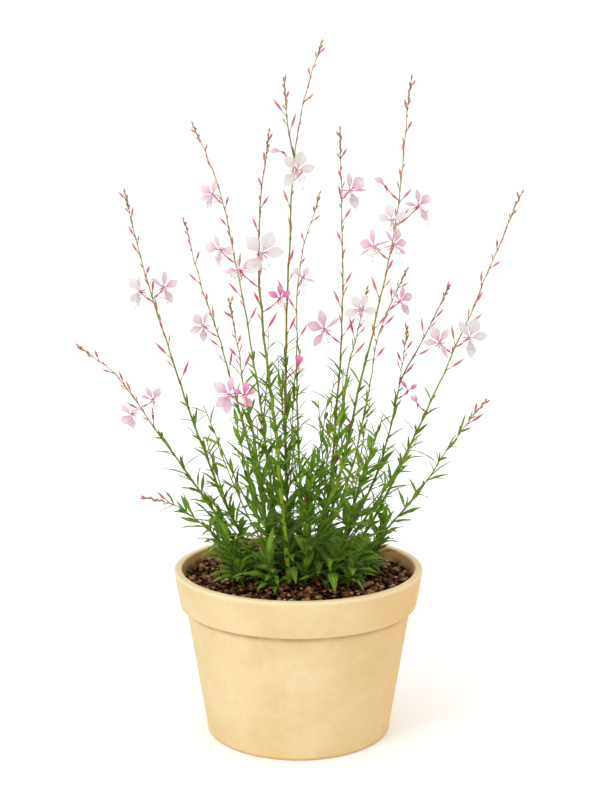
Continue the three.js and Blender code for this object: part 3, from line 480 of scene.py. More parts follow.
class Room:
    """Room already taken, as small spheres, so that nothing later grows through it."""

    def __init__(self):
        self.spheres = np.zeros((0, 4))
        self.owners = np.zeros(0, int)
        self.names = {}

    def take(self, owner, spheres):
        number = self.names.setdefault(owner, len(self.names))
        self.spheres = np.vstack([self.spheres, [(*point, radius) for point, radius in spheres]])
        self.owners = np.append(self.owners, [number] * len(spheres))

    def is_clear(self, spheres, own):
        others = self.spheres[self.owners != self.names.get(own, -1)]
        for point, radius in spheres:
            apart = ((others[:, :3] - point) ** 2).sum(1)
            if (apart <= (others[:, 3] + radius) ** 2).any():
                return False
        return True


def arch(shape, along):
    """Points and normals of an arched blade's line, which rises from its heading and bends back."""
    start, turn = math.radians(shape["rise"]), math.radians(shape["bend"])
    angle = start - turn * np.asarray(along, float)[..., None]
    forward = shape["length"] * (math.sin(start) - np.sin(angle)) / turn
    raised = shape["length"] * (np.cos(angle) - math.cos(start)) / turn
    points = shape["root"] + shape["heading"] * forward + shape["face"] * raised
    normals = shape["face"] * np.cos(angle) - shape["heading"] * np.sin(angle)
    return points, normals


def outline(half, along, power):
    """Half the width of a leaf or petal along its length."""
    return half * np.sin(np.pi * np.asarray(along) ** power)


def spheres_on_line(line, foot_radius):
    """The room that a stem takes: spheres along its straight runs."""
    spheres = []
    for run in range(len(line.knots) - 1):
        count = math.ceil(np.linalg.norm(line.knots[run + 1] - line.knots[run]) / SPHERE_STEP)
        for i in range(count + 1):
            share = mix(line.shares[run], line.shares[run + 1], i / count)
            spheres.append((line.run_point(share), mix(foot_radius, STEM_TIP_RADIUS, share) + CLEARANCE))
    return spheres


def spheres_on_blade(shape):
    """The room that a leaf takes: spheres along its arched line."""
    count = math.ceil(shape["length"] / SPHERE_STEP) + 1
    along = (np.arange(count) + 1) / count
    radii = outline(shape["half"], along, LEAF["outline_power"]) + LEAF["around_edge"]
    return list(zip(arch(shape, along)[0], np.maximum(radii, LEAF["least_sphere"])))


def is_above_ground(spheres):
    """Whether a leaf stays over the soil, and over the rim where it reaches past the soil."""
    for point, _ in spheres:
        is_over_soil = math.hypot(point[0], point[1]) < LOWEST_LEAF["soil_reach"]
        if point[2] <= LOWEST_LEAF["over_soil" if is_over_soil else "over_rim"]:
            return False
    return True


def hides_bright_stem(spheres):
    """Whether something stands just before the bright stem, as the front view has it."""
    line = STEMS[IN_VIEW["stem"]]["line"]
    for point, _ in spheres:
        if IN_VIEW["from"] <= point[2] <= IN_VIEW["to"]:
            behind = line.run_point(line.share_at_height(point[2]))
            if abs(point[0] - behind[0]) < IN_VIEW["aside"] and point[1] < behind[1]:
                return True
    return False


def hides_bloom(spheres):
    """Whether something stands before a bloom's face, as the front view has it."""
    points = np.array([point for point, _ in spheres])[:, None]
    hubs = np.array([entry["hub"] for entry in BLOOMS])[None]
    reaches = np.array([entry["size"] for entry in BLOOMS]) * IN_VIEW["bloom_share"]
    aside = np.hypot(points[..., 0] - hubs[..., 0], points[..., 2] - hubs[..., 2])
    return bool(((aside < reaches) & (points[..., 1] < hubs[..., 1])).any())


def reaches_rim(spheres):
    """Whether a leaf comes near the rim while it is still low."""
    return any(
        point[2] < OVER_SOIL["below"] and math.hypot(point[0], point[1]) > OVER_SOIL["within"]
        for point, _ in spheres
    )


def grows_clear(room, spheres, name, own=None):
    """Whether a leaf of a stem clears what grows already, the ground and the bright stem's front."""
    if name != IN_VIEW["stem"] and hides_bright_stem(spheres):
        return False
    return room.is_clear(spheres, own or name) and is_above_ground(spheres)


def leans_out(stem):
    """Whether a stem has leant far out halfway up, where it has slimmer, shorter leaves."""
    middle = stem["line"].run_point(0.5)
    return math.hypot(middle[0], middle[1]) > OUTER["reach"]


def stature_at(height, rank, is_tuft, tuft_span):
    """How a leaf stands between the lowest, broad kind, 0, and the topmost, narrow kind, 1."""
    if is_tuft:
        return span_at(tuft_span, rank)
    return min(1, (height - LEAF["first_height"]) / LEAF["span"])


def leaf_shapes(name, stem, draw, room):
    """Where a stem's leaves stand, by the rule that the solids follow: broad and drooping below, narrow and
    upright above, each turned aside until it grows clear."""
    shapes = []
    is_tuft = name.startswith("tuft")
    is_outer = leans_out(stem)
    rank_power = LEAF["tuft_rank_power" if is_tuft else "rank_power"]
    first_bearing = stem["route"][0][0] * LEAF["bearing_by_foot"]
    for i in range(stem["leaves"]):
        rank = (i + 0.5) / stem["leaves"]
        height = mix(LEAF["first_height"], stem["leaf_top"], rank ** rank_power)
        bearing = i * GOLDEN_ANGLE + first_bearing + LEAF["bearing_spread"] * draw()
        stature = stature_at(height, rank, is_tuft, LEAF["tuft_stature"])
        vigour = span_at(VIGOUR, draw())
        droop = draw()
        is_slim = is_outer and stature > OUTER["above_stature"]
        full_length = mix(LEAF["longest"], LEAF["shortest"], stature ** LEAF["length_power"]) * vigour
        full_half = mix(LEAF["widest"], LEAF["narrowest"], min(1, stature * LEAF["narrowing"]))
        length = full_length * (OUTER["leaf_length"] if is_slim else 1)
        rise = mix(LEAF["low_rise"], LEAF["high_rise"], stature) - LEAF["rise_spread"] * droop
        bend = mix(LEAF["low_bend"], LEAF["high_bend"], stature) * span_at(LEAF["bend_by_droop"], droop)
        share = stem["line"].share_at_height(height)
        for attempt in range(LEAF["attempts"]):
            swing = (1 if attempt % 2 else -1) * math.ceil(attempt / 2) * LEAF["turn_aside"]
            is_early = attempt < LEAF["attempts"] / 2
            shape = {
                "root": stem["line"].run_point(share),
                "heading": toward(bearing + swing),
                "face": UP,
                "length": length if is_early else length * LEAF["late_length"],
                "rise": rise + LEAF["rise_aside"] * attempt,
                "bend": bend,
                "half": full_half * (OUTER["leaf_width"] if is_slim else 1),
                "share": share,
                "stature": stature,
            }
            spheres = spheres_on_blade(shape)
            if grows_clear(room, spheres, name):
                room.take(name + " leaves", spheres)
                shapes.append(shape)
                break
    return shapes


def bud_places(name, line, count, first_height, draw, room):
    """Where a stem's buds stand, by the rule that the solids follow: closer and smaller towards its tip."""
    places = []
    for i in range(count):
        rank = (i + 0.5) / count
        share = line.share_at_height(mix(first_height, line.top, rank ** BUD["rank_power"]))
        start, tangent = line.run_point(share), line.run_tangent(share)
        bearing = i * GOLDEN_ANGLE + BUD["bearing_spread"] * draw()
        length = mix(BUD["longest"], BUD["shortest"], rank) * span_at(VIGOUR, draw())
        lean = math.radians(BUD["lean"] + BUD["lean_spread"] * (draw() - 0.5))
        radius = mix(BUD["radius"], BUD["tip_radius"], rank)
        for attempt in range(BUD["attempts"]):
            outward = square_to(tangent, toward(bearing + attempt * BUD["turn_aside"]))
            direction = tangent * math.cos(lean) + outward * math.sin(lean)
            spheres = [
                (start + direction * length * along, radius + BUD["around"]) for along in BUD["spheres_at"]
            ]
            if room.is_clear(spheres, name):
                room.take(name + " buds", spheres)
                places.append({"share": share, "direction": direction, "length": length, "radius": radius})
                break
    centre = line.run_point(TIP["share"]) + line.run_tangent(1) * TIP["length"] / 2
    room.take(name, [(centre, TIP["sphere"])])
    return places


def stalk_of(entry):
    """Where a bloom's stalk leaves its stem's solid, as a share, and the hub that its petals leave."""
    stem = STEMS[entry["stem"]]
    share = stem["line"].share_at_height(entry["height"])
    outward = toward(entry["bearing"])
    tangent = stem["line"].run_tangent(share)
    across = unit(np.cross(AWAY, tangent))
    third = np.cross(across, tangent)
    sector = 2 * math.pi / STEM_SIDES
    past_corner = (math.atan2(outward.dot(across), outward.dot(third)) + 2 * sector) % sector
    radius = mix(stem["radius"], STEM_TIP_RADIUS, share)
    side = radius * math.cos(sector / 2) / math.cos(past_corner - sector / 2)
    start = stem["line"].run_point(share) + outward * (side + GAP)
    direction = toward(entry["bearing"], entry["rise"])
    return {"share": share, "start": start, "direction": direction, "hub": start + direction * entry["reach"]}


def face_axes(entry):
    """The way a bloom looks, and the right and the top of its face."""
    face = toward(*entry["face"])
    right = unit(np.cross(UP, face))
    return face, right, np.cross(face, right)


def petal_shapes(entry, hub):
    """A bloom's petals as arched blades, every second one a layer in front."""
    face, right, top = face_axes(entry)
    is_open = len(entry["petals"]) > 2
    shapes = []
    for i, angle in enumerate(entry["petals"]):
        heading = right * math.cos(math.radians(angle)) + top * math.sin(math.radians(angle))
        layer = PETAL["layer"] if i % 2 else -PETAL["layer"]
        shapes.append({
            "root": hub + heading * PETAL["root_reach"] + face * layer,
            "heading": heading,
            "face": face,
            "length": entry["size"] * (1 if i % 2 else PETAL["inner_length"]),
            "rise": PETAL["rise"],
            "bend": PETAL["bend"],
            "half": entry["size"] * PETAL["slenderness"] * (1 if is_open else PETAL["closed_share"]),
        })
    return shapes


def spheres_on_bloom(entry):
    """The room that a bloom takes: its hub, its stalk's middle and its petals."""
    stalk = stalk_of(entry)
    halfway = stalk["start"] + stalk["direction"] * entry["reach"] / 2
    spheres = [(stalk["hub"], PETAL["hub_sphere"]), (halfway, PETAL["stalk_sphere"])]
    for shape in petal_shapes(entry, stalk["hub"]):
        for along in PETAL["spheres_at"]:
            radius = max(outline(shape["half"], along, PETAL["outline_power"]), PETAL["least_sphere"])
            spheres.append((arch(shape, along)[0], radius + PETAL["around"]))
    return spheres


def place_growth(room):
    """Works out every stem's line, buds and leaves in the solids' own order, so that they fall in the same
    places: stems and branches first, then blooms, buds and last leaves."""
    for name, stem in STEMS.items():
        stem["line"] = Line(stem["route"])
        room.take(name, spheres_on_line(stem["line"], stem["radius"]))
        if "branch" in stem:
            branch = stem["branch"]
            fork = stem["line"].run_point(stem["line"].share_at_height(branch["from"]))
            branch["line"] = Line([fork, *branch["route"]])
            room.take(name, spheres_on_line(branch["line"], BRANCH_RADIUS))
    for i, entry in enumerate(BLOOMS):
        entry["hub"] = stalk_of(entry)["hub"]
        room.take(f"bloom {i}", spheres_on_bloom(entry))
    for index, (name, stem) in enumerate(STEMS.items()):
        draw = draws_from(index + SEEDS["buds"])
        stem["bud_places"] = []
        if stem["buds"]:
            stem["bud_places"] = bud_places(name, stem["line"], stem["buds"], stem["first_bud"], draw, room)
        if "branch" in stem:
            branch = stem["branch"]
            first_height = branch["from"] + BUD["past_fork"]
            branch["bud_places"] = bud_places(name, branch["line"], branch["buds"], first_height, draw, room)
    for index, (name, stem) in enumerate(STEMS.items()):
        stem["leaf_shapes"] = leaf_shapes(name, stem, draws_from(index + SEEDS["leaves"]), room)


class Growth:
    """Closed bodies gathered into one mesh. Each vertex keeps its form: how far along its body it lies, how
    far across, and a tint of its body's own."""

    def __init__(self):
        self.points, self.forms, self.quads, self.caps, self.kinds = [], [], [], [], []
        self.count = 0

    def loft(self, rings, along, across, tint, kind=0):
        """A closed body through rings of points, each ring turning right-handed about the way it goes."""
        ring_count, sides = rings.shape[:2]
        index = self.count + np.arange(ring_count * sides).reshape(ring_count, sides)
        beside = np.roll(index, -1, axis=1)
        quads = np.stack([index[:-1], beside[:-1], beside[1:], index[1:]], axis=-1).reshape(-1, 4)
        form = np.empty((ring_count, sides, 3))
        form[..., 0] = np.asarray(along)[:, None]
        form[..., 1] = across
        form[..., 2] = tint
        self.points.append(rings.reshape(-1, 3))
        self.forms.append(form.reshape(-1, 3))
        self.quads.append(quads)
        self.caps += [index[0, ::-1].tolist(), index[-1].tolist()]
        self.kinds.append((len(quads), kind))
        self.count += ring_count * sides

    def tube(self, centres, radii, sides, tint, kind=0, upto=1):
        """A round body along a line of centres. Its end counts as this far along."""
        centres, radii = np.asarray(centres, float), np.asarray(radii, float)
        tangents = np.gradient(centres, axis=0)
        tangents /= np.linalg.norm(tangents, axis=1)[:, None]
        mean = unit(tangents.mean(0))
        reference = np.eye(3)[np.abs(mean).argmin()]
        first = np.cross(reference, tangents)
        first /= np.linalg.norm(first, axis=1)[:, None]
        second = np.cross(tangents, first)
        turn = np.arange(sides) * 2 * math.pi / sides
        wide = first[:, None] * np.cos(turn)[None, :, None]
        thin = second[:, None] * np.sin(turn)[None, :, None]
        rings = centres[:, None] + (wide + thin) * radii[:, None, None]
        self.loft(rings, np.linspace(0, upto, len(centres)), np.cos(turn), tint, kind)

    def blade(self, shape, half, relief, thickness, rows, columns, tint, kind, twist=0):
        """A thin arched blade, closed all round: half gives its half width, relief its lift over its line."""
        along = np.linspace(0, 1, rows + 1)
        points, normals = arch(shape, along)
        across = np.cross(shape["face"], shape["heading"])
        turn = np.radians(twist) * along[:, None]
        sideways = across * np.cos(turn) + normals * np.sin(turn)
        upward = normals * np.cos(turn) - across * np.sin(turn)
        over = np.linspace(1, -1, columns + 1)
        under = -over[1:-1]
        spread = np.concatenate([over, under])
        side = np.concatenate([np.ones(columns + 1), -np.ones(columns - 1)])
        widths = half(along)[:, None]
        body = thickness / 2 * np.sqrt(1 - spread ** 2) * side
        lift = relief(along[:, None], spread[None, :], widths) + body * np.minimum(1, widths / thickness)
        rings = points[:, None] + sideways[:, None] * (widths * spread)[..., None]
        rings = rings + upward[:, None] * lift[..., None]
        self.loft(rings, along, spread, tint, kind)

    def make(self, name, materials, slot, nodes=()):
        """Makes one piece that rides on the root, and may replace nodes of the solids. Its slot is not used.
        """
        points = np.concatenate(self.points) * MM
        quads = np.concatenate(self.quads)
        mesh = bpy.data.meshes.new(name)
        mesh.from_pydata(points.tolist(), [], quads.tolist() + self.caps)
        kinds = np.concatenate([np.full(count, kind) for count, kind in self.kinds])
        cap_kinds = np.repeat([kind for _, kind in self.kinds], 2)
        mesh.polygons.foreach_set("material_index", np.concatenate([kinds, cap_kinds]).astype(np.int32))
        mesh.polygons.foreach_set("use_smooth", np.ones(len(mesh.polygons), bool))
        form = mesh.attributes.new("form", "FLOAT_VECTOR", "POINT")
        form.data.foreach_set("vector", np.concatenate(self.forms).astype(np.float32).ravel())
        mesh.set_sharp_from_angle(angle=math.radians(SHARP_ANGLE))
        for material in materials:
            mesh.materials.append(material)
        mesh.update()
        piece = bpy.data.objects.new(name, mesh)
        bpy.context.scene.collection.objects.link(piece)
        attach(piece, "root")
        if nodes:
            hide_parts(*nodes)
        return piece


def tone(red, green, blue):
    """A screen colour as the linear colour that shaders use."""
    def linear(value):
        value /= 255
        return value / 12.92 if value <= 0.04045 else ((value + 0.055) / 1.055) ** 2.4
    return (linear(red), linear(green), linear(blue), 1)


class Surface:
    """A procedural material, painted in coats. Its shader's own sockets are set by keyword."""

    def __init__(self, name, **sockets):
        self.material = bpy.data.materials.new(name)
        self.material.use_nodes = True
        self.tree = self.material.node_tree
        self.shader = self.tree.nodes["Principled BSDF"]
        self.place = self.node("ShaderNodeTexCoord").outputs["Object"]
        form = self.node("ShaderNodeAttribute", attribute_name="form")
        parts = self.node("ShaderNodeSeparateXYZ")
        self.link(form.outputs["Vector"], parts.inputs[0])
        self.along, self.across, self.tint = parts.outputs
        for socket, value in sockets.items():
            self.shader.inputs[socket.replace("_", " ")].default_value = value

    def node(self, kind, **settings):
        made = self.tree.nodes.new(kind)
        for key, value in settings.items():
            setattr(made, key, value)
        return made

    def link(self, source, target):
        """Joins a socket to a target, or sets the target to a plain value."""
        if isinstance(source, bpy.types.NodeSocket):
            self.tree.links.new(source, target)
        else:
            target.default_value = source

    def noise(self, scale, detail=3, roughness=0.5, stretch=None):
        """Noise whose grains are about 1 / scale metres, or longer along the axes that stretch shrinks."""
        made = self.node("ShaderNodeTexNoise")
        made.inputs["Scale"].default_value = scale
        made.inputs["Detail"].default_value = detail
        made.inputs["Roughness"].default_value = roughness
        place = self.place
        if stretch:
            mapping = self.node("ShaderNodeMapping")
            mapping.inputs["Scale"].default_value = stretch
            self.link(place, mapping.inputs["Vector"])
            place = mapping.outputs["Vector"]
        self.link(place, made.inputs["Vector"])
        return made.outputs["Fac"]

    def math(self, operation, *values):
        made = self.node("ShaderNodeMath", operation=operation)
        for value, socket in zip(values, made.inputs):
            self.link(value, socket)
        return made.outputs[0]

    def times(self, a, b):
        return self.math("MULTIPLY", a, b)

    def between(self, value, low, high, first=0.0, last=1.0):
        """Value's way from low to high, as a smooth step from first to last."""
        made = self.node("ShaderNodeMapRange", interpolation_type="SMOOTHSTEP")
        names = ("Value", "From Min", "From Max", "To Min", "To Max")
        for source, name in zip((value, low, high, first, last), names):
            self.link(source, made.inputs[name])
        return made.outputs[0]

    def patches(self, scale, low, high, first=0.0, last=1.0, **settings):
        """Noise as soft patches, from first to last."""
        return self.between(self.noise(scale, **settings), low, high, first, last)

    def coat(self, factor, *stops):
        """The first coat runs along a factor. A stop is its position and its red, green and blue."""
        made = self.node("ShaderNodeValToRGB")
        elements = made.color_ramp.elements
        while len(elements) < len(stops):
            elements.new(0.5)
        for element, (position, *colour) in zip(elements, stops):
            element.position = position
            element.color = tone(*colour)
        self.link(factor, made.inputs["Fac"])
        self.colour = made.outputs["Color"]

    def cover(self, amount, *colour):
        """Lays a red, green and blue over the coats so far, by an amount from 0 to 1."""
        made = self.node("ShaderNodeMix", data_type="RGBA")
        for value, socket in ((amount, 0), (self.colour, 6), (tone(*colour), 7)):
            self.link(value, made.inputs[socket])
        self.colour = made.outputs[2]

    def raise_by(self, height, distance, strength):
        """Small relief: distance is its depth in metres."""
        made = self.node("ShaderNodeBump")
        made.inputs["Distance"].default_value = distance
        made.inputs["Strength"].default_value = strength
        self.link(height, made.inputs["Height"])
        self.link(made.outputs["Normal"], self.shader.inputs["Normal"])

    def painted(self):
        self.link(self.colour, self.shader.inputs["Base Color"])
        return self.material


def pot_surface():
    """Cream moulded clay: soft mottling, a brown line at the foot and soil dust on the inner wall. Painted
    shade makes its right warmer and darker and its left a little darker, a painted highlight pales its lip,
    and a line of painted shade runs under the collar."""
    surface = Surface("cream_clay", Roughness=0.62, Specular_IOR_Level=0.3)
    axes = surface.node("ShaderNodeSeparateXYZ")
    surface.link(surface.place, axes.inputs[0])
    side, depth, height = axes.outputs
    radius = surface.math("SQRT", surface.math("ADD", surface.times(side, side), surface.times(depth, depth)))

    def band(value, low, high, first=0.0, last=1.0):
        """A smooth step between two places in millimetres."""
        return surface.between(value, low * MM, high * MM, first, last)

    clouds = surface.noise(21, detail=5, roughness=0.66)
    surface.coat(clouds, (0.3, 213, 186, 134), (0.5, 219, 195, 145), (0.7, 223, 204, 158))
    surface.cover(surface.patches(120, 0.52, 0.74, 0, 0.16, detail=5, roughness=0.6), 198, 158, 98)
    # Painted shade: the right side is warmer and darker, as if turned away from the lamp.
    surface.cover(band(side, 10, RIM_RADIUS, 0, 0.85), 217, 178, 116)
    # Painted shade: the left side is a little darker, to temper the lamp's light there.
    surface.cover(band(side, -40, -RIM_RADIUS, 0, 0.5), 208, 184, 134)
    # Painted highlight: the top of the lip is paler.
    surface.cover(band(height, POT_HEIGHT - 4, POT_HEIGHT - 0.5, 0, 0.75), 232, 212, 168)
    surface.cover(band(height, 0.6, 3, 0.6, 0), 200, 150, 82)
    # Painted shade: a patchy brown line of shade just under the collar's overhang.
    shade = surface.times(
        band(height, COLLAR_BOTTOM - 6.6, COLLAR_BOTTOM - 1), surface.patches(45, 0.3, 0.7, 0.4, 0.75)
    )
    surface.cover(
        surface.times(shade, band(height, COLLAR_BOTTOM + 0.2, COLLAR_BOTTOM + 1, 1, 0)), 160, 116, 58
    )
    is_inside = band(radius, MOUTH_RADIUS + 0.7, MOUTH_RADIUS + 2.1, 1, 0)
    inside = surface.times(is_inside, band(height, 120, 130))
    surface.cover(surface.times(inside, 0.8), 222, 174, 104)
    dust = surface.times(inside, band(height, SOIL_LEVEL + 1.5, SOIL_LEVEL + 6, 1, 0))
    surface.cover(surface.times(dust, surface.patches(70, 0.35, 0.7, 0.1, 0.9)), 112, 78, 44)
    surface.link(surface.patches(60, 0.3, 0.7, 0.5, 0.7), surface.shader.inputs["Roughness"])
    grain = surface.math("ADD", surface.noise(900, detail=2), surface.times(surface.noise(90), 2.5))
    surface.raise_by(grain, 0.00014, 0.7)
    return surface.painted()


def soil_surface(name, gloss, *stops):
    """Damp bark and clay, each grain with a tint of its own, with painted shade in its hollows and
    underneath.
    """
    surface = Surface(name, Roughness=0.5, Specular_IOR_Level=gloss)
    surface.coat(surface.tint, *stops)
    grain = surface.noise(520, detail=4, roughness=0.65)
    # Painted shade in the hollows of the relief.
    surface.cover(surface.between(grain, 0.38, 0.6, 0.6, 0), 36, 20, 10)
    # Painted shade on each grain's underside.
    surface.cover(surface.between(surface.along, 0.42, 0.84, 0.95, 0), 26, 14, 6)
    surface.raise_by(grain, 0.0008, 0.9)
    return surface.painted()


def leaf_surface():
    """A leaf: tinted from deep to yellowish green, with a pale midrib, side veins and a soft blotching."""
    surface = Surface(
        "leaf", Roughness=0.6, Specular_IOR_Level=0.08, Subsurface_Weight=0.15, Subsurface_Scale=0.0005,
        Subsurface_Radius=(0.5, 1.0, 0.1),
    )
    surface.coat(
        surface.tint, (0.0, 60, 90, 20), (0.2, 103, 134, 40), (0.35, 116, 149, 42), (0.5, 81, 125, 15),
        (0.7, 112, 150, 17), (0.86, 138, 163, 30), (1.0, 67, 117, 37),
    )
    surface.cover(surface.patches(220, 0.35, 0.7, 0.0, 0.4), 48, 74, 24)
    away = surface.math("ABSOLUTE", surface.across)
    slanted = surface.math("SUBTRACT", surface.times(surface.along, 11), surface.times(away, 1.6))
    wave = surface.math("SINE", surface.times(slanted, 2 * math.pi))
    veins = surface.between(wave, 0.8, 1.0, 0, 0.25)
    surface.cover(veins, 116, 148, 62)
    midrib = surface.between(away, 0.05, 0.3, 0.6, 0)
    surface.cover(midrib, 142, 166, 80)
    surface.raise_by(surface.math("SUBTRACT", surface.times(veins, -1), midrib), 0.0002, 0.6)
    return surface.painted()


def stem_surface(name):
    """A stem's skin, from its foot to its tip, with faint streaks and darker nodes."""
    node_shade, *colours = SKINS[name]
    surface = Surface("skin_" + name, Roughness=0.5, Specular_IOR_Level=0.3)
    surface.coat(surface.along, *[(place, *colour) for place, colour in zip(SKIN_PLACES, colours)])
    surface.cover(surface.patches(260, 0.4, 0.7, 0, 0.4, stretch=(1, 1, 0.12)), 86, 80, 24)
    surface.cover(surface.between(surface.tint, 0.3, 1.0, 0, node_shade), 88, 84, 30)
    surface.raise_by(surface.noise(900, stretch=(1, 1, 0.1)), 0.00003, 0.5)
    return surface.painted()


def bud_surface():
    """A closed bud: its foot tan, its body from pink red to coral, or olive gold in the crowded tips."""
    surface = Surface("bud", Roughness=0.5, Subsurface_Weight=0.1, Subsurface_Scale=0.0004)
    surface.coat(
        surface.tint, (0.0, 182, 60, 88), (0.3, 196, 84, 102), (0.55, 200, 110, 112), (0.7, 190, 122, 84),
        (0.85, 164, 136, 58), (1.0, 126, 114, 44),
    )
    surface.cover(surface.between(surface.along, 0.65, 1.0, 0, 0.35), 214, 148, 140)
    surface.cover(surface.between(surface.along, 0.2, 0.42, 0.65, 0), 146, 108, 58)
    ribs = surface.math("SINE", surface.times(surface.across, 12))
    surface.cover(surface.between(ribs, 0.5, 1, 0, 0.25), 150, 56, 62)
    return surface.painted()


def bract_surface():
    """A bract or a withered bud: dull green to brown red, with dark blotches."""
    surface = Surface("bract", Roughness=0.55)
    surface.coat(surface.tint, (0.0, 60, 82, 26), (0.5, 98, 100, 34), (0.8, 138, 104, 48), (1.0, 134, 70, 50))
    surface.cover(surface.patches(400, 0.4, 0.7, 0, 0.4), 66, 60, 24)
    return surface.painted()


def tube_surface():
    """The ovary, tube and sepals: greenish red at the stem, magenta at the hub."""
    surface = Surface("tube_and_sepals", Roughness=0.5, Subsurface_Weight=0.1, Subsurface_Scale=0.0004)
    surface.coat(
        surface.along, (0.0, 160, 116, 72), (0.25, 192, 100, 96), (0.65, 192, 78, 100), (1.0, 166, 62, 84)
    )
    surface.cover(surface.between(surface.tint, 0.05, 0.6, 0, 0.6), 200, 106, 146)
    surface.cover(surface.patches(500, 0.45, 0.7, 0, 0.25), 150, 54, 74)
    return surface.painted()


def petal_surface(name):
    """A petal: its coloured claw runs out through a flush and fine veins into a pale blade."""
    claw, flush, blade = PETAL_TONES[name]
    surface = Surface("petal_" + name, Roughness=0.62, Specular_IOR_Level=0.25)
    surface.coat(
        surface.along, (0.0, *claw), (0.12, *claw), (0.34, *flush), (0.72, *blade), (1.0, *blade)
    )
    surface.cover(surface.times(surface.tint, 0.6), *flush)
    rim = surface.between(surface.math("ABSOLUTE", surface.across), 0.5, 1.0)
    surface.cover(surface.times(rim, surface.between(surface.tint, 0, 1, 0.1, 0.5)), *flush)
    surface.cover(surface.patches(120, 0.35, 0.7, 0, 0.3), *flush)
    fan = surface.math("SINE", surface.times(surface.across, 22))
    reach = surface.between(surface.along, 0.2, 0.95, 0.16, 0.0)
    surface.cover(surface.times(surface.between(fan, 0.55, 1), reach), *claw)
    return surface.painted()


def thread_surface(name, root, tip):
    """A thin part of a bloom, from one shade at its root to another at its tip."""
    surface = Surface(name, Roughness=0.5, Subsurface_Weight=0.1, Subsurface_Scale=0.0004)
    surface.coat(surface.along, (0.0, *root), (1.0, *tip))
    return surface.painted()


def turned(growth, profile, sides, ripple, tint=0.5):
    """A body turned from a profile of radius and height that starts and ends near the axis."""
    turn = np.arange(sides) * 2 * math.pi / sides
    rings = np.empty((len(profile), sides, 3))
    for row, (radius, height) in enumerate(profile):
        for column, angle in enumerate(turn):
            place = Vector((math.cos(angle) * radius, math.sin(angle) * radius, height))
            rings[row, column] = place + ripple(place)
    growth.loft(rings, np.linspace(0, 1, len(profile)), np.cos(turn), tint)


def arc(x, z, radius, first, last, steps):
    """Points along an arc of a profile."""
    angles = np.radians(np.linspace(first, last, steps + 1))
    return [(x + radius * math.cos(a), z + radius * math.sin(a)) for a in angles]


def straight(first, last, steps):
    """Points between two ends, the ends left out."""
    return [tuple(mix(np.array(first, float), np.array(last, float), i / steps)) for i in range(1, steps)]


def make_pot():
    """The pot: rounded foot, tapered wall, a stepped collar, a rolled lip and five drainage holes."""
    bottom, floor = (AXIS_RADIUS, 0), (AXIS_RADIUS, FLOOR_THICKNESS)
    foot = arc(BASE_RADIUS - BASE_ROUND, BASE_ROUND, BASE_ROUND, -90, -10, 6)
    shoulder = (BODY_TOP_RADIUS, COLLAR_BOTTOM)
    step = [
        (BODY_TOP_RADIUS - 0.12, COLLAR_BOTTOM - 1), shoulder, (BODY_TOP_RADIUS + 0.8, COLLAR_BOTTOM + 0.1)
    ]
    collar = arc(COLLAR_BOTTOM_RADIUS - COLLAR_ROUND, COLLAR_BOTTOM + COLLAR_ROUND, COLLAR_ROUND, -90, -3, 5)
    lip = arc(RIM_RADIUS - LIP_ROUND, POT_HEIGHT - LIP_ROUND, LIP_ROUND, -3, 90, 7)
    mouth = arc(MOUTH_RADIUS + LIP_ROUND, POT_HEIGHT - LIP_ROUND, LIP_ROUND, 90, 177, 7)
    inner = [(INNER_SHOULDER_RADIUS, INNER_SHOULDER), (INNER_BASE_RADIUS, FLOOR_THICKNESS)]
    profile = [
        bottom, *straight(bottom, foot[0], 6), *foot, *straight(foot[-1], shoulder, 12), *step,
        *collar, *straight(collar[-1], lip[0], 6), *lip, *mouth, *straight(mouth[-1], inner[0], 5),
        inner[0], *straight(inner[0], inner[1], 6), inner[1], *straight(inner[1], floor, 4), floor,
    ]

    def ripple(place):
        """A little out of round: up to a quarter of a millimetre inward, and under a tenth outward."""
        if place.z < BASE_ROUND:
            return Vector((0, 0, 0))
        depth = noise.noise(place * OUT_OF_ROUND["scale"]) - OUT_OF_ROUND["inset"]
        return Vector((place.x, place.y, 0)).normalized() * (OUT_OF_ROUND["depth"] * depth)

    clay = pot_surface()
    growth = Growth()
    turned(growth, profile, POT_SIDES, ripple)
    pot = growth.make("pot_clay", [clay], "pot", ["pot"])
    drills = Growth()
    for i in range(DRAIN["count"]):
        centre = toward(i * 360 / DRAIN["count"] + DRAIN["first_bearing"]) * DRAIN["circle"]
        ends = [centre - UP * DRAIN["below"], centre + UP * 2 * FLOOR_THICKNESS]
        drills.tube(ends, [DRAIN["radius"]] * 2, DRAIN["sides"], 0.5)
    drill = drills.make("drain_drill", [clay], "pot")
    cut = pot.modifiers.new("drain", "BOOLEAN")
    cut.operation, cut.solver, cut.object = "DIFFERENCE", "EXACT", drill
    bpy.context.view_layer.objects.active = pot
    bpy.ops.object.modifier_apply(modifier=cut.name)
    bpy.data.objects.remove(drill)


def crown_height(share):
    """The soil's height at a share of its edge's radius."""
    return SOIL_LEVEL + SOIL_CROWN * (1 - share ** 2)


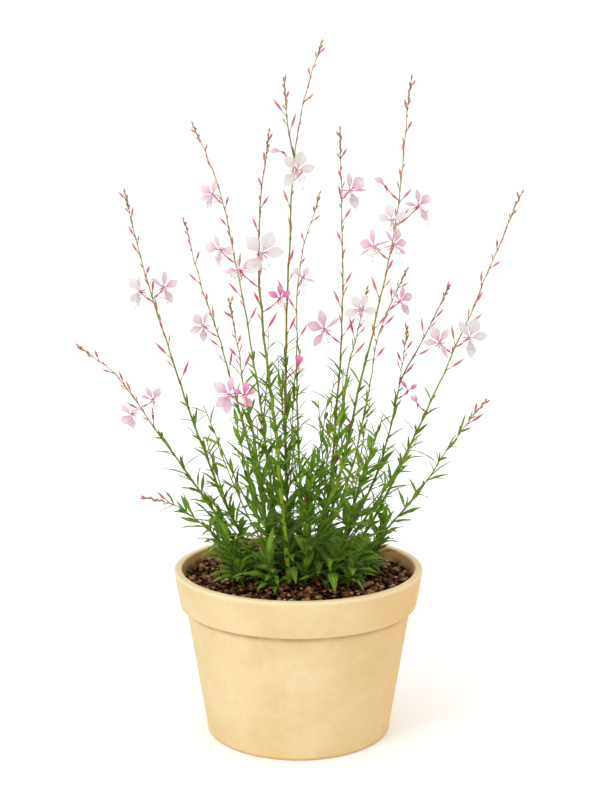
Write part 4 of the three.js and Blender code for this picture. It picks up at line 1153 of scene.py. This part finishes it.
def scatter_grains(growth, draw, count, sizes, tints, rows, sides):
    """Lumpy grains spread evenly over the soil, clear of the stems' feet."""
    feet = [(stem["line"].points[1], stem["radius"]) for stem in STEMS.values()]
    latitudes = np.radians(np.linspace(-GRAIN["pole"], GRAIN["pole"], rows))
    longitudes = np.arange(sides) * 2 * math.pi / sides
    ball = np.stack([
        np.outer(np.cos(latitudes), np.cos(longitudes)),
        np.outer(np.cos(latitudes), np.sin(longitudes)),
        np.outer(np.sin(latitudes), np.ones(sides)),
    ], axis=-1)
    for i in range(count):
        distance = (SOIL_EDGE - GRAIN["inset"]) * math.sqrt((i + draw()) / count)
        spot = toward(i * GOLDEN_ANGLE + GRAIN["bearing_spread"] * draw()) * distance
        size = mix(*sizes, draw() ** GRAIN["size_power"])
        reach = size * GRAIN["off_stems"]
        if any(math.hypot(*(foot[:2] - spot[:2])) < radius + reach for foot, radius in feet):
            continue
        size = min(size, SOIL_EDGE + GRAIN["over_edge"] - distance)
        surface_level = crown_height(distance / SOIL_EDGE) - GRAIN["sunk"] + GRAIN["heap"] * draw()
        level = surface_level - GRAIN["sunk_by_size"] * size
        stretch = np.array([span_at(span, draw()) for span in GRAIN["stretches"]])
        lumps = np.array([[span_at(GRAIN["lump"], draw()) for _ in longitudes] for _ in latitudes])
        spin = Matrix.Rotation(draw() * 2 * math.pi, 3, "Z")
        turn = spin @ Matrix.Rotation(GRAIN["tilt"] * draw(), 3, "X")
        rings = (ball * stretch * lumps[..., None] * size) @ np.array(turn).T + spot + UP * level
        # Along runs from a grain's underside to its top, and carries the painted shade underneath.
        growth.loft(rings, ball[:, 0, 2] / 2 + 0.5, 0, mix(*tints, draw()))


def make_soil():
    """The soil: a turned bed with a lumpy crown, and loose grains of bark and clay lying over it."""
    shares = [1 - i / CROWN_RINGS for i in range(CROWN_RINGS)]
    base = FLOOR_THICKNESS + GAP
    profile = [
        (AXIS_RADIUS, base), (INNER_BASE_RADIUS - 1, base), (INNER_SHOULDER_RADIUS - 1, INNER_SHOULDER - 1),
        (SOIL_EDGE - 0.6, SOIL_LEVEL - 3), *[(SOIL_EDGE * share, crown_height(share)) for share in shares],
        (AXIS_RADIUS, SOIL_LEVEL + SOIL_CROWN),
    ]

    def ripple(place):
        """Makes the crown lumpy and a little lower, and leaves the sides as they are."""
        if place.z < SOIL_LEVEL - 1:
            return Vector((0, 0, 0))
        lumps = sum(noise.noise(place * scale) * reach for scale, reach in SOIL_LUMPS["layers"])
        return Vector((0, 0, lumps - SOIL_LUMPS["inset"]))

    # The bed is near-black: the soil's own dark brown, deepened as painted shade for the gaps between grains.
    bed = soil_surface("soil_bed", 0.03, (0.0, 30, 17, 10), (1.0, 42, 25, 15))
    growth = Growth()
    turned(growth, profile, SOIL_SIDES, ripple, tint=0.1)
    growth.make("soil_bed", [bed], "soil", ["soil"])

    grains = soil_surface(
        "soil_grains", 0.16, (0.0, 48, 26, 10), (0.3, 94, 56, 24), (0.62, 144, 96, 44),
        (0.88, 208, 164, 104), (0.95, 156, 66, 44), (0.98, 208, 190, 86), (1.0, 226, 200, 156),
    )
    growth = Growth()
    draw = draws_from(GRAIN["seed"])
    scatter_grains(growth, draw, count=840, sizes=(1.7, 3.5), tints=(0.25, 1.0), rows=6, sides=9)
    scatter_grains(growth, draw, count=2100, sizes=(0.9, 1.9), tints=(0.0, 0.45), rows=4, sides=6)
    growth.make("soil_grains", [grains], "soil")


def stem_centre(line, share):
    """A point on a stem's fine line, which wanders and kinks a little from node to node."""
    offset = Vector((0, 0, 0))
    for period, reach, layer in SWAYS:
        offset += noise.noise_vector(Vector((share * line.length() / period, line.top, layer))) * reach
    return line.at(share) + np.array(offset) * min(1, share * FIRM_FOOT)


def stem_radius(foot_radius, share):
    """Stems thin quickly above their foot, the stoutest ones less so."""
    power = STEM["stout_power" if foot_radius > STEM["stout_over"] else "power"]
    return mix(foot_radius, STEM["tip"], share ** power) * STEM["scale"]


def grow_stem(growth, line, foot_radius, nodes, buried=0, upto=1):
    """A stem swollen and dark at each node, its foot carried straight on by a buried length."""
    shares = np.linspace(0, 1, math.ceil(line.length() / STEM["step"]) + 1)
    centres = [stem_centre(line, share) for share in shares]
    radii = np.array([stem_radius(foot_radius, share) for share in shares])
    width = STEM["node_length"] / line.length()
    swellings = [np.exp(-((shares - node) / width) ** 2) for node in nodes]
    knots = np.max([np.zeros(len(shares)), *swellings], axis=0)
    radii = radii * (1 + STEM["node_swelling"] * knots) + STEM["node_swelling"] * knots
    if buried:
        centres.insert(0, centres[0] - line.tangent(0) * buried)
        radii = np.insert(radii, 0, radii[0])
        knots = np.insert(knots, 0, knots[0])
    growth.tube(centres, radii, STEM["sides"], knots[:, None], SKIN_KIND, upto)


def grow_leaf(growth, shape, draw, fine=True):
    """A lanceolate leaf, folded along its midrib. The broad low ones are waved and shallowly toothed."""
    form = BROAD_LEAF if shape["stature"] < BROAD_BELOW else NARROW_LEAF
    teeth = form["teeth"] if fine else 0
    phase = WAVE_START * draw()
    fold = span_at(form["fold"], draw())
    fullness = np.interp(shape["stature"], *LEAF_FORM["fullness"])
    breadth = min(shape["half"] * fullness, shape["length"] * LEAF_FORM["slimness"])

    def half(along):
        saw = 1 - teeth * ((along * LEAF_FORM["tooth_count"]) % 1)
        return np.maximum(
            outline(breadth, along, LEAF["outline_power"]) * saw, np.interp(along, *LEAF_FORM["stalk"])
        )

    def relief(along, spread, widths):
        long_wave = form["wave"] * np.sin(along * LEAF_FORM["long_waves"] + phase) * spread
        short_height = form["wave"] * LEAF_FORM["short_wave"]
        short_wave = short_height * np.sin(along * LEAF_FORM["short_waves"] + phase) * spread ** 2
        return widths * (fold * np.abs(spread) ** LEAF_FORM["fold_power"] + (long_wave + short_wave))

    rows, columns = (form["rows"], FINE_COLUMNS) if fine else (SMALL_LEAF["rows"], SMALL_LEAF["columns"])
    tint = mix(LEAF_FORM["low_tint"], LEAF_FORM["high_tint"], shape["stature"])
    tint += LEAF_FORM["tint_spread"] * draw()
    twist = LEAF_FORM["twist"] * (draw() - 0.5)
    growth.blade(shape, half, relief, LEAF_THICKNESS, rows, columns, tint, LEAF_KIND, twist)


def side_leaves(growth, name, stem, draw, room):
    """The small upright leaves that stand in the angle between a leaf and its stem."""
    for shape in stem["leaf_shapes"]:
        tangent = stem["line"].tangent(shape["share"])
        for side in (-1, 1):
            if draw() > SIDE_LEAF["often"] * FULLNESS.get(name, 1):
                continue
            outward = rotated(shape["heading"], tangent, side * span_at(SIDE_LEAF["aside"], draw()))
            small = dict(
                shape,
                heading=square_to(tangent, outward),
                face=tangent,
                length=shape["length"] * span_at(SIDE_LEAF["length"], draw()),
                half=max(SIDE_LEAF["least_half"], shape["half"] * span_at(SIDE_LEAF["half"], draw())),
                rise=span_at(SIDE_LEAF["rise"], draw()),
                bend=span_at(SIDE_LEAF["bend"], draw()),
            )
            if small["length"] < SIDE_LEAF["shortest"]:
                continue
            spheres = [(point, SIDE_LEAF["around"]) for point, _ in spheres_on_blade(small)[1:]]
            if grows_clear(room, spheres, name):
                grow_leaf(growth, small, draw, fine=False)


def infill_leaves(growth, name, stem, draw, room):
    """More leaves along the leafy part of a stem, where there is room: low ones arch, the rest stand up."""
    is_tuft = name.startswith("tuft")
    is_outer = leans_out(stem)
    full_count = INFILL["tuft_count" if is_tuft else "outer_count" if is_outer else "count"]
    count = round(full_count * FULLNESS.get(name, 1))
    top = stem["leaf_top"] - INFILL["below_leaves" if stem["buds"] else "below_shoot"]
    for i in range(count):
        rank = (i + draw()) / count
        height = mix(LEAF["first_height"], top, rank ** INFILL["rank_power"])
        if height > stem["line"].top - INFILL["below_tip"]:
            continue
        stature = stature_at(height, rank, is_tuft, INFILL["tuft_stature"])
        is_low = stature < INFILL["low_below"]
        stance = ARCHING if is_low else UPRIGHT
        share = stem["line"].share_at_height(height)
        tangent = stem["line"].tangent(share)
        bearing = i * GOLDEN_ANGLE + INFILL["first_bearing"] + INFILL["bearing_spread"] * draw()
        full_length = mix(LEAF["longest"], LEAF["shortest"], stature ** INFILL["length_power"])
        full_half = mix(LEAF["widest"], LEAF["narrowest"], min(1, stature * INFILL["narrowing"]))
        shape = {
            "root": stem_centre(stem["line"], share),
            "face": UP if is_low else tangent,
            "length": full_length * span_at(INFILL["length"], draw()),
            "rise": span_at(stance["rise"], draw()),
            "bend": span_at(stance["bend"], draw()),
            "half": full_half * span_at(INFILL["half"], draw()),
            "stature": stature,
        }
        if is_outer and stature > OUTER["above_stature"]:
            shape["length"] *= OUTER["leaf_length"]
            shape["half"] *= OUTER["infill_width"]
        for attempt in range(INFILL["attempts"]):
            outward = toward(bearing + attempt * INFILL["turn_aside"])
            shape["heading"] = outward if is_low else square_to(tangent, outward)
            spheres = [(point, radius * INFILL["around"]) for point, radius in spheres_on_blade(shape)]
            if hides_bloom(spheres) or is_low and reaches_rim(spheres):
                continue
            if grows_clear(room, spheres, name):
                room.take(name + " infill", [(point, INFILL["kept"]) for point, _ in spheres])
                grow_leaf(growth, shape, draw, fine=stature < INFILL["fine_below"])
                break


def basal_leaves(growth, name, stem, draw, room):
    """Broad leaves that leave a stem's foot and arch over the soil."""
    foot = stem["route"][0]
    outward = math.degrees(math.atan2(foot[1], foot[0]))
    count = BASAL["tuft_count" if name.startswith("tuft") else "count"]
    for i in range(count):
        share = stem["line"].share_at_height(span_at(BASAL["height"], draw()))
        bearing = outward + ((i + draw()) / count - 0.5) * BASAL["fan"]
        shape = {
            "root": stem_centre(stem["line"], share),
            "face": UP,
            "length": span_at(BASAL["length"], draw()),
            "rise": span_at(BASAL["rise"], draw()),
            "bend": span_at(BASAL["bend"], draw()),
            "half": span_at(BASAL["half"], draw()),
            "stature": BASAL["stature"] * draw(),
        }
        for attempt in range(BASAL["attempts"]):
            shape["heading"] = toward(bearing + attempt * BASAL["turn_aside"])
            spheres = [(point, BASAL["around"]) for point, _ in spheres_on_blade(shape)[1:]]
            if min(point[2] for point, _ in spheres) < BASAL["lowest"] or reaches_rim(spheres):
                continue
            if room.is_clear(spheres, name):
                room.take(name + " basal", [(point, BASAL["kept"]) for point, _ in spheres])
                grow_leaf(growth, shape, draw)
                break


def grow_twigs(growth, name, stem, draw, room):
    """Thin side shoots that rise beside the leafy part of a stem, set with narrow upright leaves. Of the
    stems that lean far out, a few have short shoots near the foot, on their inner side."""
    is_low = name in LOW_TWIG["stems"]
    if name == IN_VIEW["stem"] or leans_out(stem) and not is_low:
        return
    line = stem["line"]
    count = LOW_TWIG["count"] if is_low else round(TWIG["count"] * FULLNESS.get(name, 1))
    top = LOW_TWIG["top"] if is_low else min(stem["leaf_top"], line.top) - TWIG["below_leaves"]
    for i in range(count):
        height = mix(TWIG["from"], top, ((i + draw()) / count) ** TWIG["rank_power"])
        share = line.share_at_height(height)
        start, tangent = stem_centre(line, share), line.tangent(share)
        length = mix(TWIG["longest"], TWIG["shortest"], (height - TWIG["from"]) / TWIG["shorter_over"])
        length *= span_at(TWIG["length"], draw())
        length *= LOW_TWIG["length"] if is_low else 1
        lean = math.radians(span_at(TWIG["lean"], draw()))
        first_bearing = i * GOLDEN_ANGLE + TWIG["bearing_spread"] * draw()
        for attempt in range(TWIG["attempts"]):
            outward = square_to(tangent, toward(first_bearing + attempt * TWIG["turn_aside"]))
            along = np.linspace(0, 1, TWIG["points"])[:, None]
            path = start + tangent * length * along * math.cos(lean)
            path = path + outward * length * math.sin(lean) * along ** TWIG["bow_power"]
            path = path + UP * TWIG["lift"] * along ** 2
            if path[-1][1] < TWIG["front"] or is_low and math.hypot(*path[-1][:2]) > LOW_TWIG["reach"]:
                continue
            spheres = [(point, TWIG["around"]) for point in path[2:]]
            if hides_bright_stem(spheres) or hides_bloom(spheres) or not room.is_clear(spheres, name):
                continue
            room.take(name + " twigs", spheres)
            radii = mix(TWIG["foot_radius"], TWIG["tip_radius"], along[:, 0])
            growth.tube(path, radii, TWIG["sides"], 0.0, SKIN_KIND, TWIG["upto"])
            twig_leaves(growth, path, length, draw, room, name)
            break


def twig_leaves(growth, path, length, draw, room, name):
    """Narrow leaves that stand up along a twig."""
    count = int(length / TWIG_LEAF["apart"])
    for k in range(count):
        part = TWIG_LEAF["first"] + TWIG_LEAF["span"] * (k + 0.5) / count
        at = part * (len(path) - 1)
        low = min(int(at), len(path) - 2)
        tangent = unit(path[low + 1] - path[low])
        outward = toward(k * GOLDEN_ANGLE + TWIG_LEAF["bearing_spread"] * draw())
        full_length = mix(TWIG_LEAF["longest"], TWIG_LEAF["shortest"], part)
        full_half = mix(TWIG_LEAF["widest"], TWIG_LEAF["narrowest"], part)
        shape = {
            "root": mix(path[low], path[low + 1], at - low),
            "heading": square_to(tangent, outward),
            "face": tangent,
            "length": full_length * span_at(TWIG_LEAF["length"], draw()),
            "rise": span_at(TWIG_LEAF["rise"], draw()),
            "bend": span_at(TWIG_LEAF["bend"], draw()),
            "half": full_half * span_at(TWIG_LEAF["half"], draw()),
            "stature": span_at(TWIG_LEAF["stature"], draw()),
        }
        spheres = [(point, TWIG_LEAF["around"]) for point, _ in spheres_on_blade(shape)]
        if not hides_bloom(spheres) and grows_clear(room, spheres, name, own=name + " twigs"):
            grow_leaf(growth, shape, draw, fine=False)


def grow_bud(growth, start, direction, length, radius, tint, kind=BUD_KIND):
    """A slim bud on a thin stalk, curved up a little toward its tip."""
    along = np.linspace(0, 1, BUD_FORM["points"])
    bow = BUD_FORM["bow"] * length * (along ** 2 - along)
    centres = start + direction * (length * along)[:, None] + UP * bow[:, None]
    body = np.clip((along - BUD_FORM["stalk_share"]) / (1 - BUD_FORM["stalk_share"]), 0, 1)
    swell = radius * np.sin(np.pi * body ** BUD_FORM["swell_power"])
    radii = np.maximum(swell, np.interp(along, *BUD_FORM["stalk"]))
    growth.tube(centres, radii, BUD_FORM["sides"], tint, kind)


def grow_slip(growth, shape, form, tint, kind):
    """A small, plain, cupped blade: a bract or a sepal."""
    def half(along):
        return form["edge"] + form["half"] * np.sin(np.pi * along ** SLIP_POWER)

    def relief(along, spread, widths):
        return form["cup"] * widths * spread ** 2

    growth.blade(shape, half, relief, form["thickness"], form["rows"], form["columns"], tint, kind)


def grow_bract(growth, start, tangent, outward, length, tint):
    """The small leaf that a bud stands over, close along the stem."""
    heading = unit(tangent + outward * BRACT["forward"])
    shape = {
        "root": start, "heading": heading, "length": length, "rise": BRACT["rise"], "bend": BRACT["bend"],
        "face": square_to(heading, unit(outward - tangent * BRACT["forward"])),
    }
    grow_slip(growth, shape, BRACT, tint, BRACT_KIND)


def grow_buds(growth, line, foot_radius, places, draw):
    """A stem's buds, each over its bract, with a younger one between each pair and a crowd at the tip."""
    for place, after in zip(places, [*places[1:], None]):
        share, direction = place["share"], place["direction"]
        start, tangent = stem_centre(line, share), line.tangent(share)
        outward = square_to(tangent, direction)
        side = start + outward * stem_radius(foot_radius, share) * OPENING_BUD["off_axis"]
        grow_bract(growth, side, tangent, outward, span_at(OPENING_BUD["bract"], draw()), draw())
        vigour = np.interp(place["length"], *OPENING_BUD["vigour"]) - OPENING_BUD["less"]
        length = place["length"] * (vigour + OPENING_BUD["length_spread"] * draw())
        direction = unit(direction + outward * OPENING_BUD["outward"] * draw())
        radius = place["radius"] * OPENING_BUD["radius"]
        grow_bud(growth, start, direction, length, radius, OPENING_BUD["tint"] * draw())
        if after is None:
            continue
        share = mix(share, after["share"], span_at(YOUNG_BUD["between"], draw()))
        start, tangent = stem_centre(line, share), line.tangent(share)
        outward = rotated(outward, tangent, span_at(YOUNG_BUD["turn"], draw()))
        direction = unit(tangent + outward * span_at(YOUNG_BUD["outward"], draw()))
        length *= span_at(YOUNG_BUD["length"], draw())
        grow_bud(growth, start, direction, length, YOUNG_BUD["radius"], span_at(YOUNG_BUD["tint"], draw()))
        grow_bract(growth, start, tangent, outward, YOUNG_BUD["bract"], draw())
    tangent = line.tangent(1)
    side = unit(np.cross(tangent, AWAY))
    for i in range(TIP_BUDS["count"]):
        rank = i / TIP_BUDS["count"]
        turn = math.radians(i * GOLDEN_ANGLE)
        outward = side * math.cos(turn) + np.cross(tangent, side) * math.sin(turn)
        start = stem_centre(line, 1 - mix(TIP_BUDS["first"], TIP_BUDS["last"], rank) / line.length())
        direction = unit(tangent + outward * mix(*TIP_BUDS["outward"], rank))
        length, radius = mix(*TIP_BUDS["length"], rank), mix(*TIP_BUDS["radius"], rank)
        grow_bud(growth, start, direction, length, radius, span_at(TIP_BUDS["tint"], draw()))
        grow_bract(growth, start, tangent, -outward, TIP_BUDS["bract"], draw())
    start = stem_centre(line, 1) - END_BUD["below"] * tangent
    grow_bud(growth, start, tangent, END_BUD["length"], END_BUD["radius"], END_BUD["tint"])


def grow_petal(growth, shape, draw):
    """A clawed petal: it widens slowly from a narrow claw and runs out to a blunt point."""
    phase = WAVE_START * draw()
    cup = span_at(PETAL_FORM["cup"], draw())

    def half(along):
        claw = np.clip(along / PETAL_FORM["claw_share"], 0, 1)
        widening = (claw * claw * (3 - 2 * claw)) ** PETAL_FORM["claw_power"]
        blade = np.sin(np.pi * along ** PETAL_FORM["outline_power"]) * widening
        return np.maximum(shape["half"] * blade, np.interp(along, *PETAL_FORM["claw"]))

    def relief(along, spread, widths):
        wave = PETAL_FORM["wave"] * np.sin(along * PETAL_FORM["long_waves"] + phase) * spread
        fine_wave = np.sin(along * PETAL_FORM["short_waves"] + phase)
        ruffle = wave + PETAL_FORM["ruffle"] * fine_wave * np.abs(spread)
        crease = PETAL_FORM["crease"] * np.exp(-(spread / PETAL_FORM["crease_width"]) ** 2)
        return widths * (PETAL_FORM["fold"] * np.abs(spread) + cup * spread ** 2 + ruffle - crease)

    width_share = 2 * shape["half"] / shape["length"]
    slimness = np.clip((PETAL_FORM["slim_from"] - width_share) / PETAL_FORM["slim_span"], 0, 1)
    tint = PETAL_FORM["slim_tint"] * slimness + PETAL_FORM["tint_spread"] * draw()
    twist = PETAL_FORM["twist"] * (draw() - 0.5)
    rows, columns = PETAL_FORM["rows"], PETAL_FORM["columns"]
    growth.blade(shape, half, relief, PETAL_THICKNESS, rows, columns, tint, PETAL_KIND, twist)


def grow_tube(growth, root, hub, face, reach):
    """The ovary and the bowed tube that carries a bloom's hub."""
    along = np.linspace(0, 1, TUBE["points"])
    bow = np.sin(np.pi * along) * reach * TUBE["bow"]
    centres = root + (hub + face * TUBE["into_hub"] - root) * along[:, None] - UP * bow[:, None]
    ovary = TUBE["ovary"] * np.exp(-((along - TUBE["ovary_at"]) / TUBE["ovary_length"]) ** 2)
    flare = np.interp(along, *TUBE["flare"])
    growth.tube(centres, TUBE["radius"] + ovary + flare, TUBE["sides"], 0.0, TUBE_KIND)


def sepal_angles(petals):
    """Sepals show in the gaps between petals: two in the widest gap, and one in each of two others."""
    angles = sorted(petals)
    ends = angles[1:] + [angles[0] + 360]
    gaps = sorted(((b - a, (a + b) / 2) for a, b in zip(angles, ends)), reverse=True)
    widest = gaps[0][1]
    if len(angles) > 2:
        return [widest - SEPAL["beside_gap"], widest + SEPAL["beside_gap"], gaps[1][1], gaps[-1][1]]
    return [widest - SEPAL["beside_closed_gap"], widest + SEPAL["beside_closed_gap"]]


def grow_sepals(growth, entry, hub, draw):
    """Narrow sepals, bent back behind the petals."""
    face, right, top = face_axes(entry)
    for angle in sepal_angles(entry["petals"]):
        turn = math.radians(angle + SEPAL["angle_spread"] * (draw() - 0.5))
        outward = right * math.cos(turn) + top * math.sin(turn)
        shape = {
            "root": hub - face * SEPAL["behind_hub"],
            "heading": unit(outward - face * SEPAL["reflex"]),
            "face": unit(face + outward * (1 / SEPAL["reflex"])),
            "length": entry["size"] * span_at(SEPAL["length"], draw()),
            "rise": SEPAL["rise"],
            "bend": span_at(SEPAL["bend"], draw()),
        }
        grow_slip(growth, shape, SEPAL, draw(), TUBE_KIND)


def grow_stamens(growth, entry, hub, draw):
    """Eight drooping stamens with their anthers, and the style with its four-lobed tip."""
    face, right, top = face_axes(entry)
    lean = STAMENS["lean"] + STAMENS["lean_spread"] * (draw() - 0.5)
    along = np.linspace(0, 1, STAMENS["points"])[:, None]
    for i in range(STAMENS["count"] + 1):
        is_style = i == STAMENS["count"]
        form = STYLE if is_style else STAMEN
        place = 0
        if not is_style:
            middle = (STAMENS["count"] - 1) / 2
            place = (i - middle) * STAMENS["apart"] + STAMENS["apart_spread"] * draw()
        turn = math.radians(lean + place)
        outward = right * math.cos(turn) + top * math.sin(turn)
        direction = unit(outward + face * span_at(STAMENS["forward"], draw()))
        length = entry["size"] * span_at(form["length"], draw())
        start = hub + face * STAMENS["before_hub"]
        centres = start + direction * length * along - UP * (length * STAMENS["droop"]) * along ** 2
        radii = np.full(STAMENS["points"], form["radius"])
        growth.tube(centres, radii, STAMENS["sides"], draw(), THREAD_KIND)
        end, way = centres[-1], unit(centres[-1] - centres[-2])
        if is_style:
            for lobe in range(STYLE["lobes"]):
                spread = math.radians((lobe + 0.5) * 360 / STYLE["lobes"])
                side = right * math.cos(spread) + top * math.sin(spread)
                size = STYLE["lobe_length"], STYLE["lobe_radius"]
                grow_bud(growth, end, unit(way + side), *size, 0.5, THREAD_KIND)
            continue
        cross = unit(np.cross(way, toward(draw() * 360)))
        body = np.linspace(-1, 1, ANTHER["points"])
        anther = end + cross * (body * ANTHER["half_length"])[:, None]
        radii = ANTHER["end_radius"] + ANTHER["swelling"] * np.sqrt(1 - body ** 2)
        growth.tube(anther, radii, ANTHER["sides"], draw(), ANTHER_KIND)


def make_bloom(index, entry, materials):
    """One bloom: ovary and tube, clawed petals, reflexed sepals, and in an open one stamens and style."""
    draw = draws_from(index + SEEDS["blooms"])
    growth = Growth()
    stalk = stalk_of(entry)
    hub = stalk["hub"]
    root = stem_centre(STEMS[entry["stem"]]["line"], stalk["share"])
    grow_tube(growth, root, hub, toward(*entry["face"]), entry["reach"])
    for shape, breadth in zip(petal_shapes(entry, hub), entry["breadths"]):
        shape["half"] = shape["length"] * breadth / 2
        grow_petal(growth, shape, draw)
    grow_sepals(growth, entry, hub, draw)
    if len(entry["petals"]) > 2:
        grow_stamens(growth, entry, hub, draw)
    node = f"bloom_{index + 1:02d}"
    growth.make(node + "_fine", materials, "petal_" + entry["tone"], [node])


def grow_main_parts(name, stem, draw):
    """A stem with the leaves and buds that its solid has too, in their finer form."""
    growth = Growth()
    places, shapes = stem["bud_places"], stem["leaf_shapes"]
    nodes = [place["share"] for place in places + shapes]
    upto = 1 if stem["buds"] else STEM["shoot_upto"]
    grow_stem(growth, stem["line"], stem["radius"], nodes, STEM["buried"], upto)
    for shape in shapes:
        shape["root"] = stem_centre(stem["line"], shape["share"])
        if shape["stature"] > STANDING["stature"]:
            shape["bend"] *= STANDING["bend"]
        if name.startswith("tuft"):
            shape["stature"] *= TUFT_LEAF["stature"]
            shape["half"] *= TUFT_LEAF["half"]
        grow_leaf(growth, shape, draw)
    if stem["buds"]:
        grow_buds(growth, stem["line"], stem["radius"], places, draw)
    if "branch" in stem:
        branch = stem["branch"]
        nodes = [place["share"] for place in branch["bud_places"]]
        grow_stem(growth, branch["line"], BRANCH_RADIUS, nodes)
        grow_buds(growth, branch["line"], BRANCH_RADIUS, branch["bud_places"], draw)
    return growth


def make_plant(room):
    """Every stem with its leaves and buds. What the solids leave out is added last, where there is room."""
    skins = {name: stem_surface(name) for name in SKINS}
    leaf, bud, bract = leaf_surface(), bud_surface(), bract_surface()
    for index, (name, stem) in enumerate(STEMS.items()):
        stem["growth"] = grow_main_parts(name, stem, draws_from(index + SEEDS["stems"]))
    for name, height, bearing, length in WITHERED:
        line = STEMS[name]["line"]
        share = line.share_at_height(height)
        direction = unit(line.tangent(share) + toward(bearing) * WITHERED_BUD["outward"])
        start = stem_centre(line, share)
        radius, tint = WITHERED_BUD["radius"], WITHERED_BUD["tint"]
        grow_bud(STEMS[name]["growth"], start, direction, length, radius, tint, BRACT_KIND)
    for index, (name, stem) in enumerate(STEMS.items()):
        draw = draws_from(index + SEEDS["extras"])
        growth = stem["growth"]
        is_tuft = name.startswith("tuft")
        if not is_tuft:
            grow_twigs(growth, name, stem, draw, room)
        basal_leaves(growth, name, stem, draw, room)
        side_leaves(growth, name, stem, draw, room)
        infill_leaves(growth, name, stem, draw, room)
        skin = skins[SKIN_OF.get(name, "green")]
        growth.make(name + "_fine", [skin, leaf, bud, bract], "tuft" if is_tuft else "stem", [name])


def make_blooms():
    """Every bloom, with petals in its own tone."""
    petals = {name: petal_surface(name) for name in PETAL_TONES}
    tube = tube_surface()
    thread = thread_surface("filament", (210, 180, 186), (200, 204, 196))
    anther = thread_surface("anther", (166, 152, 126), (180, 168, 142))
    for index, entry in enumerate(BLOOMS):
        make_bloom(index, entry, [petals[entry["tone"]], tube, thread, anther])


def make_floor():
    """A pale floor that brightens evenly into the white background."""
    bpy.ops.mesh.primitive_circle_add(
        vertices=FLOOR["sides"], radius=FLOOR["radius"], fill_type="NGON", location=(0, 0, -FLOOR["below"])
    )
    floor = bpy.context.object
    floor.name = "floor"
    surface = Surface(
        "pale_floor", Roughness=0.9, Specular_IOR_Level=0.0, Emission_Color=(1, 1, 1, 1),
        Base_Color=(FLOOR["shade"], FLOOR["shade"], FLOOR["shade"], 1),
    )
    distance = surface.node("ShaderNodeVectorMath", operation="LENGTH")
    surface.link(surface.place, distance.inputs[0])
    glow = surface.between(distance.outputs["Value"], FLOOR["glow_from"], FLOOR["glow_to"], *FLOOR_GLOW)
    surface.link(glow, surface.shader.inputs["Emission Strength"])
    floor.data.materials.append(surface.material)


def make_light():
    """An even white sky and one large soft lamp, above the left and the front."""
    world = bpy.data.worlds.new("studio")
    world.use_nodes = True
    sky = world.node_tree.nodes["Background"]
    sky.inputs["Color"].default_value = (1, 1, 1, 1)
    sky.inputs["Strength"].default_value = SKY_STRENGTH
    scene = bpy.context.scene
    scene.world = world
    scene.view_settings.view_transform = "Standard"
    lamp = bpy.data.lights.new("key", "AREA")
    lamp.size = LAMP["size"]
    lamp.energy = LAMP["energy"]
    holder = bpy.data.objects.new("key", lamp)
    holder.location = LAMP["place"]
    aim = Vector(LAMP["aim"]) - holder.location
    holder.rotation_euler = aim.to_track_quat("-Z", "Y").to_euler()
    scene.collection.objects.link(holder)


def make_camera():
    """The photograph's view: from the front, a little above the rim, looking slightly down."""
    camera = bpy.data.cameras.new("camera")
    camera.lens = CAMERA["lens"]
    holder = bpy.data.objects.new("camera", camera)
    holder.location = CAMERA["place"]
    holder.rotation_euler = (math.pi / 2 - CAMERA["pitch"], 0, 0)
    bpy.context.scene.collection.objects.link(holder)
    bpy.context.scene.camera = holder


make_camera()
make_light()
make_floor()
room = Room()
place_growth(room)
make_pot()
make_soil()
make_plant(room)
make_blooms()

bpy.context.view_layer.update()
